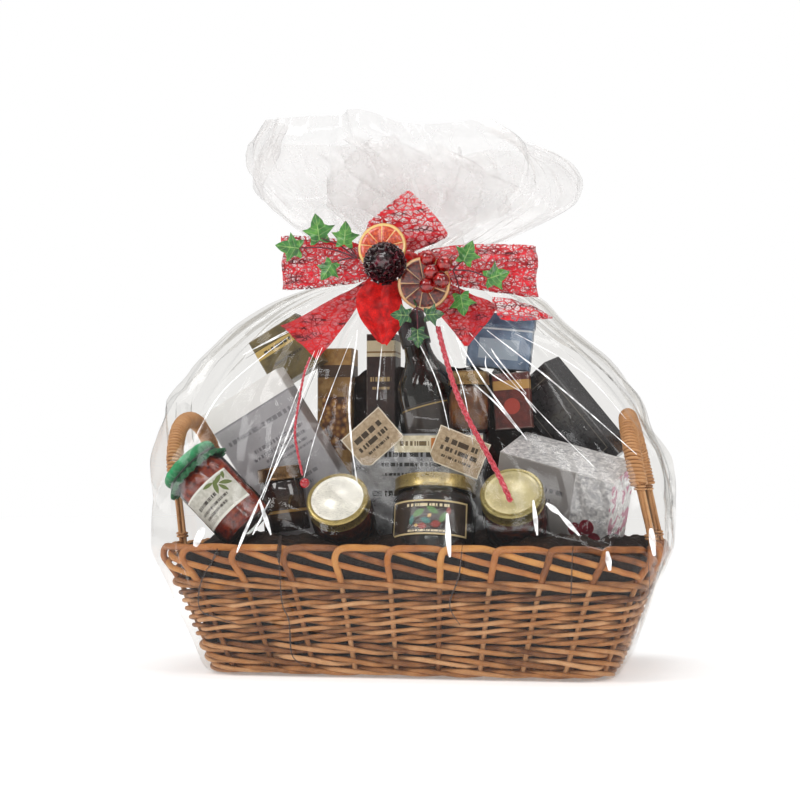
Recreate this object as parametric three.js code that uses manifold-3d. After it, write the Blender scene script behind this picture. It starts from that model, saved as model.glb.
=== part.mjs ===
// A gift hamper: a willow basket of jars, packs and a bottle, wrapped in clear film that is tied at the
// neck with a ribbon bow. Millimetres, +Z up, front towards -Y. It rests on the film under the basket, at z = 0.
import * as THREE from 'three';
import { mergeVertices } from 'three/addons/utils/BufferGeometryUtils.js';
import Module from 'manifold-3d';

const wasm = await Module();
wasm.setup();

const gap = 0.35; // clearance between pieces that touch
const centreShift = 6; // brings the whole hamper's middle, plume included, to x = 0

// Basket
const baseHalf = { x: 210, y: 133, corner: 38 };
const rimHalf = { x: 256, y: 168, corner: 50 };
const basketFloorZ = 1.7;
const wallTopZ = 121;
const wallThickness = 9;
const weaveRows = 7;
const weaveBump = 1.8; // how far the rods bulge out between the stakes
const rowGroove = 1.6; // how deep the valley between two rows is
const borderRadius = 7.5;
const footRadius = 5;
const floorTopZ = 17;
const plan = { front: 14, side: 8, corner: 3 }; // segments of a basket ring

// Handles: an arch over each end of the basket, on two peeled legs
const handleHalfSpan = 82;
const handleTopZ = 269;
const handleWrapRadius = 9.5;
const handleLegRadius = 5;
const handleFootX = 249;
const leftHandleLean = 18; // the left arch leans out, the right one in
const rightHandleLean = -28;

// Film: the outside of the wrap from under the basket to the neck, then the plume above it
const filmWall = 1.2;
const filmPlan = { front: 8, side: 4, corner: 3 };
const neckX = -20;
const neckZ = 434;
const filmBody = [
  { z: 0, x: 216, y: 139, corner: 42, cx: 0 },
  { z: 9, x: 219.5, y: 142.5, corner: 44, cx: 0 },
  { z: 128, x: 268, y: 178, corner: 58, cx: 0 },
  { z: 143, x: 269.5, y: 177, corner: 60, cx: 0 },
  { z: 180, x: 270, y: 166, corner: 50, cx: -1 },
  { z: 225, x: 268, y: 153, corner: 48, cx: -8 },
  { z: 262, x: 263, y: 139, corner: 84, cx: -18 },
  { z: 290, x: 259, y: 127, corner: 105, cx: -22 },
  { z: 332, x: 222.5, y: 105, corner: 88, cx: -27 },
  { z: 371, x: 179, y: 79, corner: 68, cx: -30 },
  { z: 395, x: 150, y: 52, corner: 45, cx: -20 },
  { z: 410, x: 118, y: 36, corner: 31, cx: -17 },
  { z: 424, x: 60, y: 24, corner: 21, cx: -19 },
  { z: 430, x: 22, y: 16, corner: 14, cx: neckX },
];
const neck = { z: neckZ, x: 14, y: 14, corner: 12, cx: neckX, bore: 1.4 };
const plume = [
  { z: 442, x: 14, y: 14, corner: 12, cx: -20, cy: 0 },
  { z: 449, x: 55, y: 21, corner: 18, cx: -20, cy: 4 },
  { z: 462, x: 100, y: 30, corner: 26, cx: -20, cy: 10 },
  { z: 484, x: 137, y: 48, corner: 42, cx: -16, cy: 20 },
  { z: 507, x: 172, y: 74, corner: 66, cx: -12, cy: 20 },
  { z: 534, x: 184, y: 98, corner: 86, cx: -19, cy: 12 },
  { z: 560, x: 172, y: 108, corner: 92, cx: -24, cy: 8 },
  { z: 584, x: 142, y: 104, corner: 88, cx: -34, cy: 6 },
];
const plumeRuffle = 0.085; // ruffle depth at the top, as a share of the radius
const plumeTopTilt = 12; // the top edge falls by this from the middle to the right end

// Jars: outside radius and height of the glass, and the lid's
const glassWall = 2.4;
const jarSides = 12;

const colours = {
  willow: 0xb98a58, willowLight: 0xd2a66c, film: 0xe9ebe8, tissue: 0x2b2522, kraft: 0xb9a188,
  cardWhite: 0xd9d8da, cardGrey: 0xb3b1b4, black: 0x262424, olive: 0x6a5a32, golden: 0x9a7238,
  tinBlue: 0x59708a, redPack: 0x56241c, silver: 0x9b9c9e, glass: 0xcfd8d4, darkGlass: 0x14110f,
  capsule: 0x1c1a1c, clothGreen: 0x14804c, lidGold: 0xc9a548, lidDark: 0x2a1a12, jam: 0x8c1e0a,
  relish: 0x2c1712, amber: 0xb4661c, honey: 0xc07a22, ribbon: 0xc8141e,
  leaf: 0x3f8a2c, leafDark: 0x1f5a2c, slice: 0xc2521c, sliceDark: 0x7a2c14,
  cone: 0x3a0f16, berry: 0xb5121a, label: 0xe6e0cc,
};

const hamper = new THREE.Group();
const pieces = new THREE.Group(); // built about the basket's centre
pieces.position.x = centreShift;
hamper.add(pieces);
const reserved = []; // the room that each piece takes, which the packing is cut to

// Meshes and placing

function addMesh(name, geometry, colour, finish = {}) {
  const material = new THREE.MeshStandardMaterial({ color: colour, roughness: 0.6, metalness: 0, ...finish });
  const mesh = new THREE.Mesh(geometry, material);
  mesh.name = name;
  pieces.add(mesh);
  return mesh;
}

// Leans are in degrees: forward tips the top towards the front, left tips it to the left as seen from the
// front, and turn is about the piece's own upright axis, before both.
function setPose(mesh, { at, forward = 0, left = 0, turn = 0 }) {
  const radians = THREE.MathUtils.degToRad;
  mesh.position.set(...at);
  mesh.rotation.set(radians(forward), radians(-left), radians(turn), 'YXZ');
  mesh.updateMatrix();
  return mesh;
}

// Keeps the packing clear of a placed mesh, by a blank that is the mesh's outside and a little more
function reserve(blank, mesh) {
  reserved.push(toSolid(blank.applyMatrix4(mesh.matrix)));
}

// Solids for booleans

function toSolid(geometry) {
  const bare = geometry.clone();
  bare.deleteAttribute('normal');
  bare.deleteAttribute('uv');
  const merged = mergeVertices(bare, 1e-3);
  const vertProperties = new Float32Array(merged.attributes.position.array);
  const triVerts = new Uint32Array(merged.index.array);
  return new wasm.Manifold(new wasm.Mesh({ numProp: 3, vertProperties, triVerts }));
}

function toGeometry(solid) {
  const mesh = solid.getMesh();
  const geometry = new THREE.BufferGeometry();
  geometry.setAttribute('position', new THREE.BufferAttribute(new Float32Array(mesh.vertProperties), 3));
  geometry.setIndex(new THREE.BufferAttribute(new Uint32Array(mesh.triVerts), 1));
  return geometry;
}

function join(geometries) {
  const [first, ...rest] = geometries.map(toSolid);
  return toGeometry(rest.reduce((whole, part) => whole.add(part), first));
}

// Lofts: rings of points, listed so that the surface faces out, closed by two fans or by wrapping round.
// From the band `turned` on, quads are split along the other diagonal, as an inner skin that runs back down
// needs to stay parallel to the outer one.

function loft(rings, wraps = false, turned = rings.length) {
  const around = rings[0].length;
  const points = rings.flat();
  const indices = [];
  const bands = wraps ? rings.length : rings.length - 1;
  for (let band = 0; band < bands; band += 1) {
    const low = band * around;
    const high = ((band + 1) % rings.length) * around;
    for (let i = 0; i < around; i += 1) {
      const next = (i + 1) % around;
      if (band < turned) indices.push(low + i, low + next, high + next, low + i, high + next, high + i);
      else indices.push(low + i, low + next, high + i, low + next, high + next, high + i);
    }
  }
  if (!wraps) {
    addFan(points, indices, 0, around, true);
    addFan(points, indices, (rings.length - 1) * around, around, false);
  }
  const geometry = new THREE.BufferGeometry().setFromPoints(points);
  geometry.setIndex(indices);
  return geometry;
}

function addFan(points, indices, start, around, flipped) {
  const centre = new THREE.Vector3();
  for (let i = 0; i < around; i += 1) centre.addScaledVector(points[start + i], 1 / around);
  const hub = points.push(centre) - 1;
  for (let i = 0; i < around; i += 1) {
    const next = (i + 1) % around;
    if (flipped) indices.push(hub, start + next, start + i);
    else indices.push(hub, start + i, start + next);
  }
}

// A level ring: a rectangle with round corners, anticlockwise from the front end of the right side.
// bulge(column) moves a point out along its normal.
function planRing(half, z, segments, bulge = () => 0) {
  const { x, y, corner, cx = 0, cy = 0 } = half;
  const flatX = x - corner;
  const flatY = y - corner;
  const ring = [];
  const put = (px, py, angle) => {
    const out = bulge(ring.length);
    ring.push(new THREE.Vector3(cx + px + out * Math.cos(angle), cy + py + out * Math.sin(angle), z));
  };
  for (let side = 0; side < 4; side += 1) {
    const angle = (side * Math.PI) / 2;
    const along = side % 2 === 0 ? flatY : flatX;
    const out = side % 2 === 0 ? x : y;
    const count = side % 2 === 0 ? segments.side : segments.front;
    for (let i = 0; i < count; i += 1) {
      const s = along * ((2 * i) / count - 1);
      put(out * Math.cos(angle) - s * Math.sin(angle), out * Math.sin(angle) + s * Math.cos(angle), angle);
    }
    const cornerX = flatX * Math.sign(Math.cos(angle + Math.PI / 4));
    const cornerY = flatY * Math.sign(Math.sin(angle + Math.PI / 4));
    for (let i = 0; i < segments.corner; i += 1) {
      const turn = angle + ((Math.PI / 2) * i) / segments.corner;
      put(cornerX + corner * Math.cos(turn), cornerY + corner * Math.sin(turn), turn);
    }
  }
  return ring;
}

function basketHalf(z, inset = 0) {
  const t = z / wallTopZ;
  const mix = (a, b) => a + (b - a) * t;
  return {
    x: mix(baseHalf.x, rimHalf.x) - inset,
    y: mix(baseHalf.y, rimHalf.y) - inset,
    corner: mix(baseHalf.corner, rimHalf.corner) - inset,
  };
}

// Basket

const bump = (column) => (column % 2 === 0 ? -weaveBump : weaveBump);

// Walls and floor in one: the floor fills the foot border's ring
function basketWalls() {
  const low = basketFloorZ + 2 * footRadius + gap;
  const rowHeight = (wallTopZ - low) / weaveRows;
  const floorInset = 2 * footRadius + 3;
  const rings = [basketFloorZ, low].map((z) => planRing(basketHalf(0, floorInset), z, plan));
  rings.push(planRing(basketHalf(low, rowGroove), low, plan));
  for (let row = 0; row < weaveRows; row += 1) {
    const crest = low + (row + 0.5) * rowHeight;
    const valley = low + (row + 1) * rowHeight;
    rings.push(planRing(basketHalf(crest), crest, plan, bump));
    rings.push(planRing(basketHalf(valley, rowGroove), valley, plan));
  }
  rings.push(planRing(basketHalf(wallTopZ, wallThickness), wallTopZ, plan));
  rings.push(planRing(basketHalf(floorTopZ, wallThickness), floorTopZ, plan));
  addMesh('basket_walls', loft(rings), colours.willow, { roughness: 0.7 });
}

// A rod-bundle ring that follows the basket's plan, with a rope-like wave
function rodRing(half, z, radius, sides, wave) {
  const rings = [];
  for (let k = 0; k < sides; k += 1) {
    const turn = (2 * Math.PI * (k - 0.5)) / sides;
    const offset = { x: half.x + radius * Math.cos(turn), y: half.y + radius * Math.cos(turn) };
    const corner = half.corner + radius * Math.cos(turn);
    rings.push(planRing({ ...offset, corner }, z + radius * Math.sin(turn), plan, wave));
  }
  return loft(rings, true);
}

function basketBorders() {
  const rimWave = (column) => (column % 2 === 0 ? 0.8 : -0.8);
  const rimZ = wallTopZ + gap + borderRadius;
  const rim = rodRing(basketHalf(wallTopZ, wallThickness / 2 - 1), rimZ, borderRadius, 5, rimWave);
  addMesh('rim_border', rim, colours.willowLight, { roughness: 0.65 });
  const footZ = basketFloorZ + footRadius;
  const foot = rodRing(basketHalf(0, footRadius), footZ, footRadius, 5, () => 0);
  addMesh('foot_border', foot, colours.willow, { roughness: 0.7 });
}

// One handle: two peeled legs that stand on the border, and the wrapped arch that joins them
function handle(name, side, lean) {
  const footZ = wallTopZ + 2 * borderRadius + 2;
  const wrapZ = 196;
  const place = (y, z) => {
    const rise = (z - footZ) / (handleTopZ - footZ);
    return new THREE.Vector3(side * (handleFootX + lean * rise), y, z);
  };
  const reach = handleHalfSpan;
  const archPoints = [
    place(-reach, wrapZ), place(-0.9 * reach, 228), place(-0.55 * reach, 258), place(0, handleTopZ),
    place(0.55 * reach, 258), place(0.9 * reach, 228), place(reach, wrapZ),
  ];
  const arch = tube(archPoints, handleWrapRadius, 13, 8);
  const leg = (y) => tube([place(y, footZ), place(y, wrapZ + 12)], handleLegRadius, 1, 8);
  const legs = [leg(-reach), leg(reach)];
  addMesh(name, join([arch, ...legs]), colours.willowLight, { roughness: 0.6 });
}

function circleShape(radius, sides) {
  const corners = [];
  for (let i = 0; i < sides; i += 1) {
    const angle = (2 * Math.PI * i) / sides;
    corners.push(new THREE.Vector2(radius * Math.cos(angle), radius * Math.sin(angle)));
  }
  return new THREE.Shape(corners);
}

function tube(points, radius, steps, sides) {
  const extrudePath = points.length > 2 ? new THREE.CatmullRomCurve3(points) : new THREE.LineCurve3(...points);
  return new THREE.ExtrudeGeometry(circleShape(radius, sides), { extrudePath, steps, curveSegments: 1 });
}

// Film

// Short pleats that run from the neck over the shoulder of the wrap
function pleat(z) {
  const reach = THREE.MathUtils.smoothstep(z, 250, 380) * (1 - THREE.MathUtils.smoothstep(z, 405, neckZ));
  return (column) => (column % 2 === 0 ? 2.2 : -2.2) * reach;
}

function plumeRing(level, share) {
  const ring = planRing(level, level.z, filmPlan);
  return ring.map((point) => {
    const dx = point.x - level.cx;
    const dy = point.y - level.cy;
    const angle = Math.atan2(dy, dx);
    const ruffle = 1 + plumeRuffle * share * (Math.sin(7 * angle + 0.6) + 0.7 * Math.sin(11 * angle + 2.1));
    const fall = share ** 3 * (plumeTopTilt * Math.cos(angle) + 4 * Math.sin(5 * angle + 1));
    return new THREE.Vector3(level.cx + dx * ruffle, level.cy + dy * ruffle, level.z - fall);
  });
}

// The inner skin of the film: each point moves in along the surface's normal
function innerRing(rings, row) {
  const around = rings[row].length;
  const below = rings[Math.max(row - 1, 0)];
  const above = rings[Math.min(row + 1, rings.length - 1)];
  return rings[row].map((point, i) => {
    const along = rings[row][(i + 1) % around].clone().sub(rings[row][(i + around - 1) % around]);
    const up = above[i].clone().sub(below[i]);
    return point.clone().addScaledVector(along.cross(up).normalize(), -filmWall);
  });
}

const filmFinish = { roughness: 0.12, transparent: true, opacity: 0.25 };
const neckBore = { x: neck.bore, y: neck.bore, corner: neck.bore * 0.8, cx: neck.cx };

// The wrap below the neck, which stays open there by the neck's narrow bore
function filmWrap() {
  const body = filmBody.map((level) => planRing(level, level.z, filmPlan, pleat(level.z)));
  const topZ = neckZ - gap / 2;
  const outer = [...body, planRing(neck, topZ, filmPlan)];
  const inner = body.map((ring, row) => innerRing(outer, row));
  const { x, y } = filmBody[0];
  inner[0] = planRing({ ...filmBody[0], x: x - filmWall, y: y - filmWall }, filmWall, filmPlan);
  const film = loft([...outer, planRing(neckBore, topZ, filmPlan), ...inner.reverse()], false, outer.length);
  addMesh('film_wrap', film, colours.film, filmFinish);
}

// The plume above the neck
function filmPlume() {
  const footZ = neckZ + gap / 2;
  const spread = plume.map((level, i) => plumeRing(level, (i + 1) / plume.length));
  const outer = [planRing(neck, footZ, filmPlan), ...spread];
  const inner = outer.map((ring, row) => innerRing(outer, row));
  [footZ, plume[0].z + filmWall].forEach((z, row) => { inner[row] = planRing(neckBore, z, filmPlan); });
  const film = loft([...outer, ...inner.reverse()], true, outer.length);
  addMesh('film_plume', film, colours.film, filmFinish);
}

// Contents: cartons, packs and tins

// A carton with narrow chamfers along its upright edges, its origin at its centre
function carton(name, size, colour, pose, finish = { roughness: 0.5 }) {
  const [width, depth, height] = size;
  const chamfer = 1.2;
  const outline = new THREE.Shape([
    new THREE.Vector2(chamfer - width / 2, -depth / 2), new THREE.Vector2(width / 2 - chamfer, -depth / 2),
    new THREE.Vector2(width / 2, chamfer - depth / 2), new THREE.Vector2(width / 2, depth / 2 - chamfer),
    new THREE.Vector2(width / 2 - chamfer, depth / 2), new THREE.Vector2(chamfer - width / 2, depth / 2),
    new THREE.Vector2(-width / 2, depth / 2 - chamfer), new THREE.Vector2(-width / 2, chamfer - depth / 2),
  ]);
  const body = new THREE.ExtrudeGeometry(outline, { depth: height, bevelEnabled: false });
  body.translate(0, 0, -height / 2);
  const mesh = setPose(addMesh(name, body, colour, finish), pose);
  reserve(new THREE.BoxGeometry(width + 2 * gap, depth + 2 * gap, height + 2 * gap), mesh);
}

function cartons() {
  const foil = { roughness: 0.35, metalness: 0.6 };
  carton('carton_left', [97, 50, 175], colours.cardWhite, { at: [-157, -4, 226], left: 31, forward: 8 });
  carton('carton_right', [128, 72, 96], colours.cardGrey, {
    at: [152, -20, 182], left: -11, forward: 22, turn: -12,
  });
  carton('box_black', [56, 44, 128], colours.black, { at: [156, 40, 268], left: 39, turn: -20 });
  carton('pack_silver', [140, 24, 118], colours.silver, { at: [0, -30, 192] }, foil);
  carton('pack_dark', [33, 34, 175], colours.relish, { at: [-56, 50, 278] }, { roughness: 0.4 });
  carton('pack_golden', [40, 34, 150], colours.golden, { at: [-112, 62, 276] });
  carton('carton_olive', [64, 26, 62], colours.olive, { at: [-162, 30, 346], left: 31 });
  carton('tin_blue', [72, 24, 60], colours.tinBlue, { at: [82, 14, 353], left: -6 });
  carton('pack_red', [40, 20, 60], colours.redPack, { at: [97, -2, 287], left: 4 });
}

// Contents: jars and the bottle

// Glass wall and filling of a jar that stands on the origin
function jarProfiles(radius, height, neckRadius) {
  const wall = glassWall;
  const shoulder = height - 13;
  const glass = [
    [0, 0], [radius, 0], [radius, shoulder - 9], [neckRadius, shoulder], [neckRadius, height],
    [neckRadius - wall, height], [neckRadius - wall, shoulder - 1], [radius - wall, shoulder - 10],
    [radius - wall, wall + 1], [0, wall + 1],
  ];
  const inner = radius - wall - gap;
  const filling = [
    [0, wall + 1 + gap], [inner, wall + 1 + gap], [inner, shoulder - 11],
    [neckRadius - wall - gap - 1, shoulder - 2], [0, shoulder - 2],
  ];
  return { glass: lathe(glass, jarSides), filling: lathe(filling, jarSides) };
}

function lathe(profile, sides) {
  const points = profile.map(([r, z]) => new THREE.Vector2(r, z));
  return new THREE.LatheGeometry(points, sides).rotateX(Math.PI / 2);
}

// A screw lid that stands over a neck which ends at the origin's height
function lidGeometry(radius, neckRadius, height) {
  const inner = neckRadius + gap;
  const top = height - 12;
  return lathe([
    [0, gap], [inner, gap], [inner, -11], [radius, -11], [radius, top - 1.5], [radius - 1.5, top], [0, top],
  ], jarSides);
}

function glassJar(name, { radius, height, neckRadius, lid, filling, pose }) {
  const parts = jarProfiles(radius, height, neckRadius);
  const glassFinish = { roughness: 0.05, transparent: true, opacity: 0.35 };
  const glass = setPose(addMesh(`${name}_glass`, parts.glass, colours.glass, glassFinish), pose);
  setPose(addMesh(`${name}_filling`, parts.filling, filling, { roughness: 0.4 }), pose);
  const widest = Math.max(radius, lid) + 3 * gap;
  reserve(lathe([[0, -gap], [widest, -gap], [widest, height + 5], [0, height + 5]], jarSides), glass);
}

function lidJar(name, shape) {
  glassJar(name, shape);
  const cover = lidGeometry(shape.lid, shape.neckRadius, 16).translate(0, 0, shape.height);
  setPose(addMesh(`${name}_lid`, cover, shape.lidColour, { roughness: 0.3, metalness: 0.8 }), shape.pose);
}

// A jar that is too dark to see into, with its lid
function darkJar(name, { radius, height, neckRadius, pose }) {
  const shoulder = height - 13;
  const profile = [
    [0, 0], [radius, 0], [radius, shoulder - 9], [neckRadius, shoulder], [neckRadius, height], [0, height],
  ];
  const body = setPose(addMesh(name, lathe(profile, jarSides), colours.relish, { roughness: 0.12 }), pose);
  const cover = lidGeometry(radius, neckRadius, 16).translate(0, 0, height);
  setPose(addMesh(`${name}_lid`, cover, colours.lidDark, { roughness: 0.3, metalness: 0.6 }), pose);
  const room = [[0, -gap], [radius + gap, -gap], [radius + gap, height + 5], [0, height + 5]];
  reserve(lathe(room, jarSides), body);
}

// A paper label round part of a jar, from one facet of the glass to another, counted from the jar's front
function label(name, { radius, pose }, { low, high, from, to }) {
  const inner = radius + gap;
  const outer = inner + 0.5;
  const rings = [];
  for (let facet = from; facet <= to; facet += 1) {
    const angle = (2 * Math.PI * facet) / jarSides;
    const at = (r, z) => new THREE.Vector3(r * Math.sin(angle), -r * Math.cos(angle), z);
    rings.push([at(inner, low), at(inner, high), at(outer, high), at(outer, low)]);
  }
  setPose(addMesh(name, loft(rings), colours.label, { roughness: 0.6 }), pose);
}

// The cloth cap: a disc over the lid with a pleated skirt that is tied in under the lid's edge
function clothCap(jarHeight, neckRadius, pose) {
  const sides = 18;
  const ring = (radius, z, ruffle) => {
    const points = [];
    for (let i = 0; i < sides; i += 1) {
      const angle = (2 * Math.PI * i) / sides;
      const r = radius + (i % 2 === 0 ? ruffle : -ruffle);
      points.push(new THREE.Vector3(r * Math.cos(angle), r * Math.sin(angle), z));
    }
    return points;
  };
  const lift = jarHeight;
  const inner = neckRadius + gap + 0.5;
  const cap = loft([
    ring(inner, lift + gap, 0), ring(inner, lift - 11, 0), ring(inner + 3, lift - 12, 0),
    ring(34, lift - 17, 2.5), ring(36, lift - 14, 2.5), ring(30.5, lift - 8, 0.8), ring(33, lift - 2, 0.5),
    ring(29, lift + 4, 0),
  ]);
  setPose(addMesh('cap_green_cloth', cap, colours.clothGreen, { roughness: 0.9 }), pose);
}

function bottle() {
  const pose = { at: [52, 18, 92], left: 14 };
  const radius = 34;
  const neckRadius = 14.5;
  const height = 292;
  const glass = lathe([
    [0, 0], [radius - 3, 0], [radius, 3], [radius, 215], [radius - 4, 232], [neckRadius + 2.5, 250],
    [neckRadius, 262], [neckRadius, height], [0, height],
  ], 14);
  const body = setPose(addMesh('bottle', glass, colours.darkGlass, { roughness: 0.08 }), pose);
  const inner = neckRadius + gap;
  const top = height + 12;
  const cover = lathe([
    [0, height + gap], [inner, height + gap], [inner, 266], [inner + 1.6, 266], [inner + 1.6, top - 1.5],
    [inner, top], [0, top],
  ], 14);
  setPose(addMesh('bottle_capsule', cover, colours.capsule, { roughness: 0.4 }), pose);
  reserve(lathe([[0, -gap], [radius + gap, -gap], [radius + gap, 200], [0, 200]], 14), body);
}

function jars() {
  const green = { radius: 31, height: 96, neckRadius: 27, lid: 31, pose: { at: [-166, -112, 151], left: 45 } };
  glassJar('jar_green', { ...green, filling: colours.jam });
  clothCap(green.height, green.neckRadius, green.pose);
  label('label_green_jar', green, { low: 22, high: 62, from: -2, to: 2 });
  darkJar('jar_dark', { radius: 25, height: 66, neckRadius: 21.5, pose: { at: [-140, -54, 146], left: 8 } });
  const gold = { lid: 32.5, lidColour: colours.lidGold, filling: colours.amber };
  const front = { radius: 33, height: 72, neckRadius: 28.5, ...gold };
  lidJar('jar_front_left', { ...front, pose: { at: [-68, -71, 139], forward: 55 } });
  lidJar('jar_front_right', { ...front, pose: { at: [112, -74, 141], forward: 51 } });
  const centre = { radius: 43, height: 86, neckRadius: 38, pose: { at: [27, -111, 113], forward: -14 } };
  lidJar('jar_centre', { ...gold, ...centre, lid: 42.5, filling: colours.relish });
  label('label_centre_jar', centre, { low: 24, high: 60, from: -2, to: 2 });
  lidJar('jar_amber', {
    radius: 23, height: 62, neckRadius: 19.5, lid: 22.5, filling: colours.honey, lidColour: colours.lidGold,
    pose: { at: [52, -24, 252] },
  });
}

// The cream band across the silver pack
function band() {
  const strip = new THREE.BoxGeometry(96, 0.8, 18);
  setPose(addMesh('band_cream', strip, colours.label, { roughness: 0.6 }), { at: [22, -42.8, 240] });
}

// Two kraft tags that lean on the silver pack
function tags() {
  const pose = [
    { name: 'tag_left', at: [-49, -46.5, 246], left: 41, size: [55, 43] },
    { name: 'tag_right', at: [45, -46.5, 231], left: -22, size: [58, 40] },
  ];
  pose.forEach(({ name, at, left, size: [width, height] }) => {
    const nib = 8;
    const outline = new THREE.Shape([
      new THREE.Vector2(-width / 2, -height / 2), new THREE.Vector2(width / 2, -height / 2),
      new THREE.Vector2(width / 2, height / 2), new THREE.Vector2(nib - width / 2, height / 2),
      new THREE.Vector2(-width / 2, height / 2 - nib),
    ]);
    const card = new THREE.ExtrudeGeometry(outline, { depth: 1, bevelEnabled: false });
    card.translate(0, 0, -0.5).rotateX(Math.PI / 2);
    setPose(addMesh(name, card, colours.kraft, { roughness: 0.85 }), { at, left });
  });
}

// Packing: crumpled tissue that fills the basket and holds each piece, cut to its shape
function packing() {
  const floorZ = floorTopZ + gap;
  const crumple = (x, y) => 7 * Math.sin(x / 23 + 1) * Math.cos(y / 19) + 4 * Math.sin(x / 11 + y / 13);
  const inset = wallThickness + 1.5;
  const segments = { front: 6, side: 4, corner: 2 };
  const level = (z, extra) => planRing(basketHalf(Math.min(z, wallTopZ), inset + extra), z, segments);
  const rings = [level(floorZ, 3), level(116, 3), level(138, 9), level(144, 40)];
  rings.slice(2).flat().forEach((point) => { point.z += crumple(point.x, point.y); });
  const whole = toSolid(loft(rings));
  const cut = reserved.reduce((rest, room) => rest.subtract(room), whole);
  addMesh('packing_tissue', toGeometry(cut), colours.tissue, { roughness: 0.95 });
}

// Bow and trimmings, in front of the film

const frontGap = 4; // clearance between the film's front and what hangs on it

// Where the film's front is, at a place across and a height
function filmFront(x, z) {
  const row = filmBody.findIndex((level) => level.z >= z);
  const low = filmBody[row - 1];
  const high = filmBody[row];
  const t = (z - low.z) / (high.z - low.z);
  const mix = (key) => low[key] + (high[key] - low[key]) * t;
  const corner = mix('corner');
  const past = Math.max(Math.abs(x - mix('cx')) - (mix('x') - corner), 0);
  return corner - mix('y') - Math.sqrt(Math.max(corner ** 2 - past ** 2, 0));
}

const onFilm = (x, z, lift) => new THREE.Vector3(x, filmFront(x, z) - frontGap - lift, z);

// A strip of ribbon: each station is a point on its middle and the vector from there to its edge
function ribbon(stations, thickness = 1.2) {
  const last = stations.length - 1;
  const rings = stations.map(([at, across], i) => {
    const along = stations[Math.min(i + 1, last)][0].clone().sub(stations[Math.max(i - 1, 0)][0]);
    const up = along.cross(across).normalize().multiplyScalar(thickness / 2);
    const corner = (side, face) => at.clone().addScaledVector(across, side).addScaledVector(up, face);
    return [corner(1, -1), corner(1, 1), corner(-1, 1), corner(-1, -1)];
  });
  return loft(rings);
}

const vector = (x, y, z) => new THREE.Vector3(x, y, z);
const ribbonFinish = { roughness: 0.7, transparent: true, opacity: 0.9 };

const betweenEdges = ([first, second]) => [
  first.clone().add(second).divideScalar(2), first.clone().sub(second).divideScalar(2),
];

function addRibbon(name, stations) {
  addMesh(name, ribbon(stations), colours.ribbon, ribbonFinish);
}

// A side loop: a band on edge that runs out from the knot, round the end and back behind itself
function sideLoop(name, side, rootX, endX, rootZ, endZ, halfWidth) {
  const span = endX - rootX;
  const at = (t, y) => vector(rootX + span * t, y, rootZ + (endZ - rootZ) * t);
  const across = (share) => vector(0, 0, halfWidth * share);
  const stations = [
    [at(0, -66), across(0.45)], [at(0.35, -73), across(0.8)], [at(0.75, -74), across(0.96)],
    [at(0.95, -69), across(1)], [at(1, -61), across(1)], [at(0.94, -53), across(1)],
    [at(0.7, -48), across(0.92)], [at(0.3, -49), across(0.75)], [at(0.02, -53), across(0.45)],
  ];
  addRibbon(name, side < 0 ? stations : stations.reverse());
}

function bow() {
  const knot = new THREE.SphereGeometry(1, 10, 8).scale(22, 24, 15);
  setPose(addMesh('bow_knot', knot, colours.ribbon, { roughness: 0.8 }), { at: [-16, -45.4, 434] });
  const tie = new THREE.TorusGeometry(18.6, 2.2, 5, 14);
  setPose(addMesh('neck_tie', tie, colours.ribbon, { roughness: 0.8 }), { at: [neckX, 0, neckZ + 4] });
  sideLoop('bow_loop_left', -1, -36, -146, 434, 435.5, 28.5);
  sideLoop('bow_loop_right', 1, 4, 131, 432, 420, 26.5);
  addRibbon('bow_peak', [
    [vector(-9, -62, 445), vector(12, 0, 0)], [vector(-8, -70, 454), vector(34, 0, -2)],
    [vector(-6, -77, 466), vector(43, 0, -5)], [vector(-4, -82, 486), vector(25, 0, -2)],
    [vector(-3, -84, 506), vector(2, 0, 0)],
  ]);
  addRibbon('bow_tail_left', [
    [vector(-44, -66, 421), vector(-58, -62, 410)], [onFilm(-62, 381, 8), onFilm(-88, 397, 12)],
    [onFilm(-78, 352, 3), onFilm(-116, 377, 9)], [onFilm(-95, 327, 1), onFilm(-140, 366, 5)],
  ].map(betweenEdges));
  addRibbon('bow_fold', [
    [vector(-18, -70, 416), vector(-42, -70, 420)], [vector(-10, -86, 392), vector(-58, -82, 398)],
    [onFilm(-8, 368, 4), onFilm(-54, 372, 6)], [onFilm(-22, 341, 2), onFilm(-32, 345, 2)],
  ].map(betweenEdges));
  addRibbon('bow_tail_right', [
    [vector(26, -72, 414), vector(8, -72, 414)], [vector(62, -84, 396), vector(18, -84, 392)],
    [onFilm(89, 380, 7), onFilm(28, 377, 5)], [onFilm(64, 339, 2), onFilm(60, 339, 2)],
  ].map(betweenEdges));
  addRibbon('bow_tail_far_right', [
    [vector(86, -84, 392), vector(86, -84, 386)], [onFilm(104, 391, 16), onFilm(96, 368, 10)],
    [onFilm(126, 384, 14), onFilm(120, 366, 9)], [onFilm(145, 374, 12), onFilm(145, 371, 12)],
  ].map(betweenEdges));
}

// A dried orange slice, a shallow disc with a raised rind
function orangeSlice(name, radius, colour, pose) {
  const rind = 2.2;
  const disc = lathe([
    [0, -1.6], [radius - rind, -1.6], [radius, -2.6], [radius, 2.6], [radius - rind, 1.6], [0, 1.6],
  ], 14).rotateX(Math.PI / 2);
  setPose(addMesh(name, disc, colour, { roughness: 0.45 }), pose);
}

// A small cone seen from its tip: rings of scales round a blunt core
function pineCone() {
  const rows = [[7, 0], [18, 2], [14, 6], [20, 9], [14.5, 14], [18, 17], [11, 22], [13, 24], [5, 29]];
  const profile = [[0, 0], ...rows, [0, 31]];
  const cone = lathe(profile, 12).rotateX(Math.PI / 2);
  const mesh = addMesh('pine_cone', cone, colours.cone, { roughness: 0.3 });
  setPose(mesh, { at: [-24, -99.5, 426], forward: -8 });
}

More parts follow.
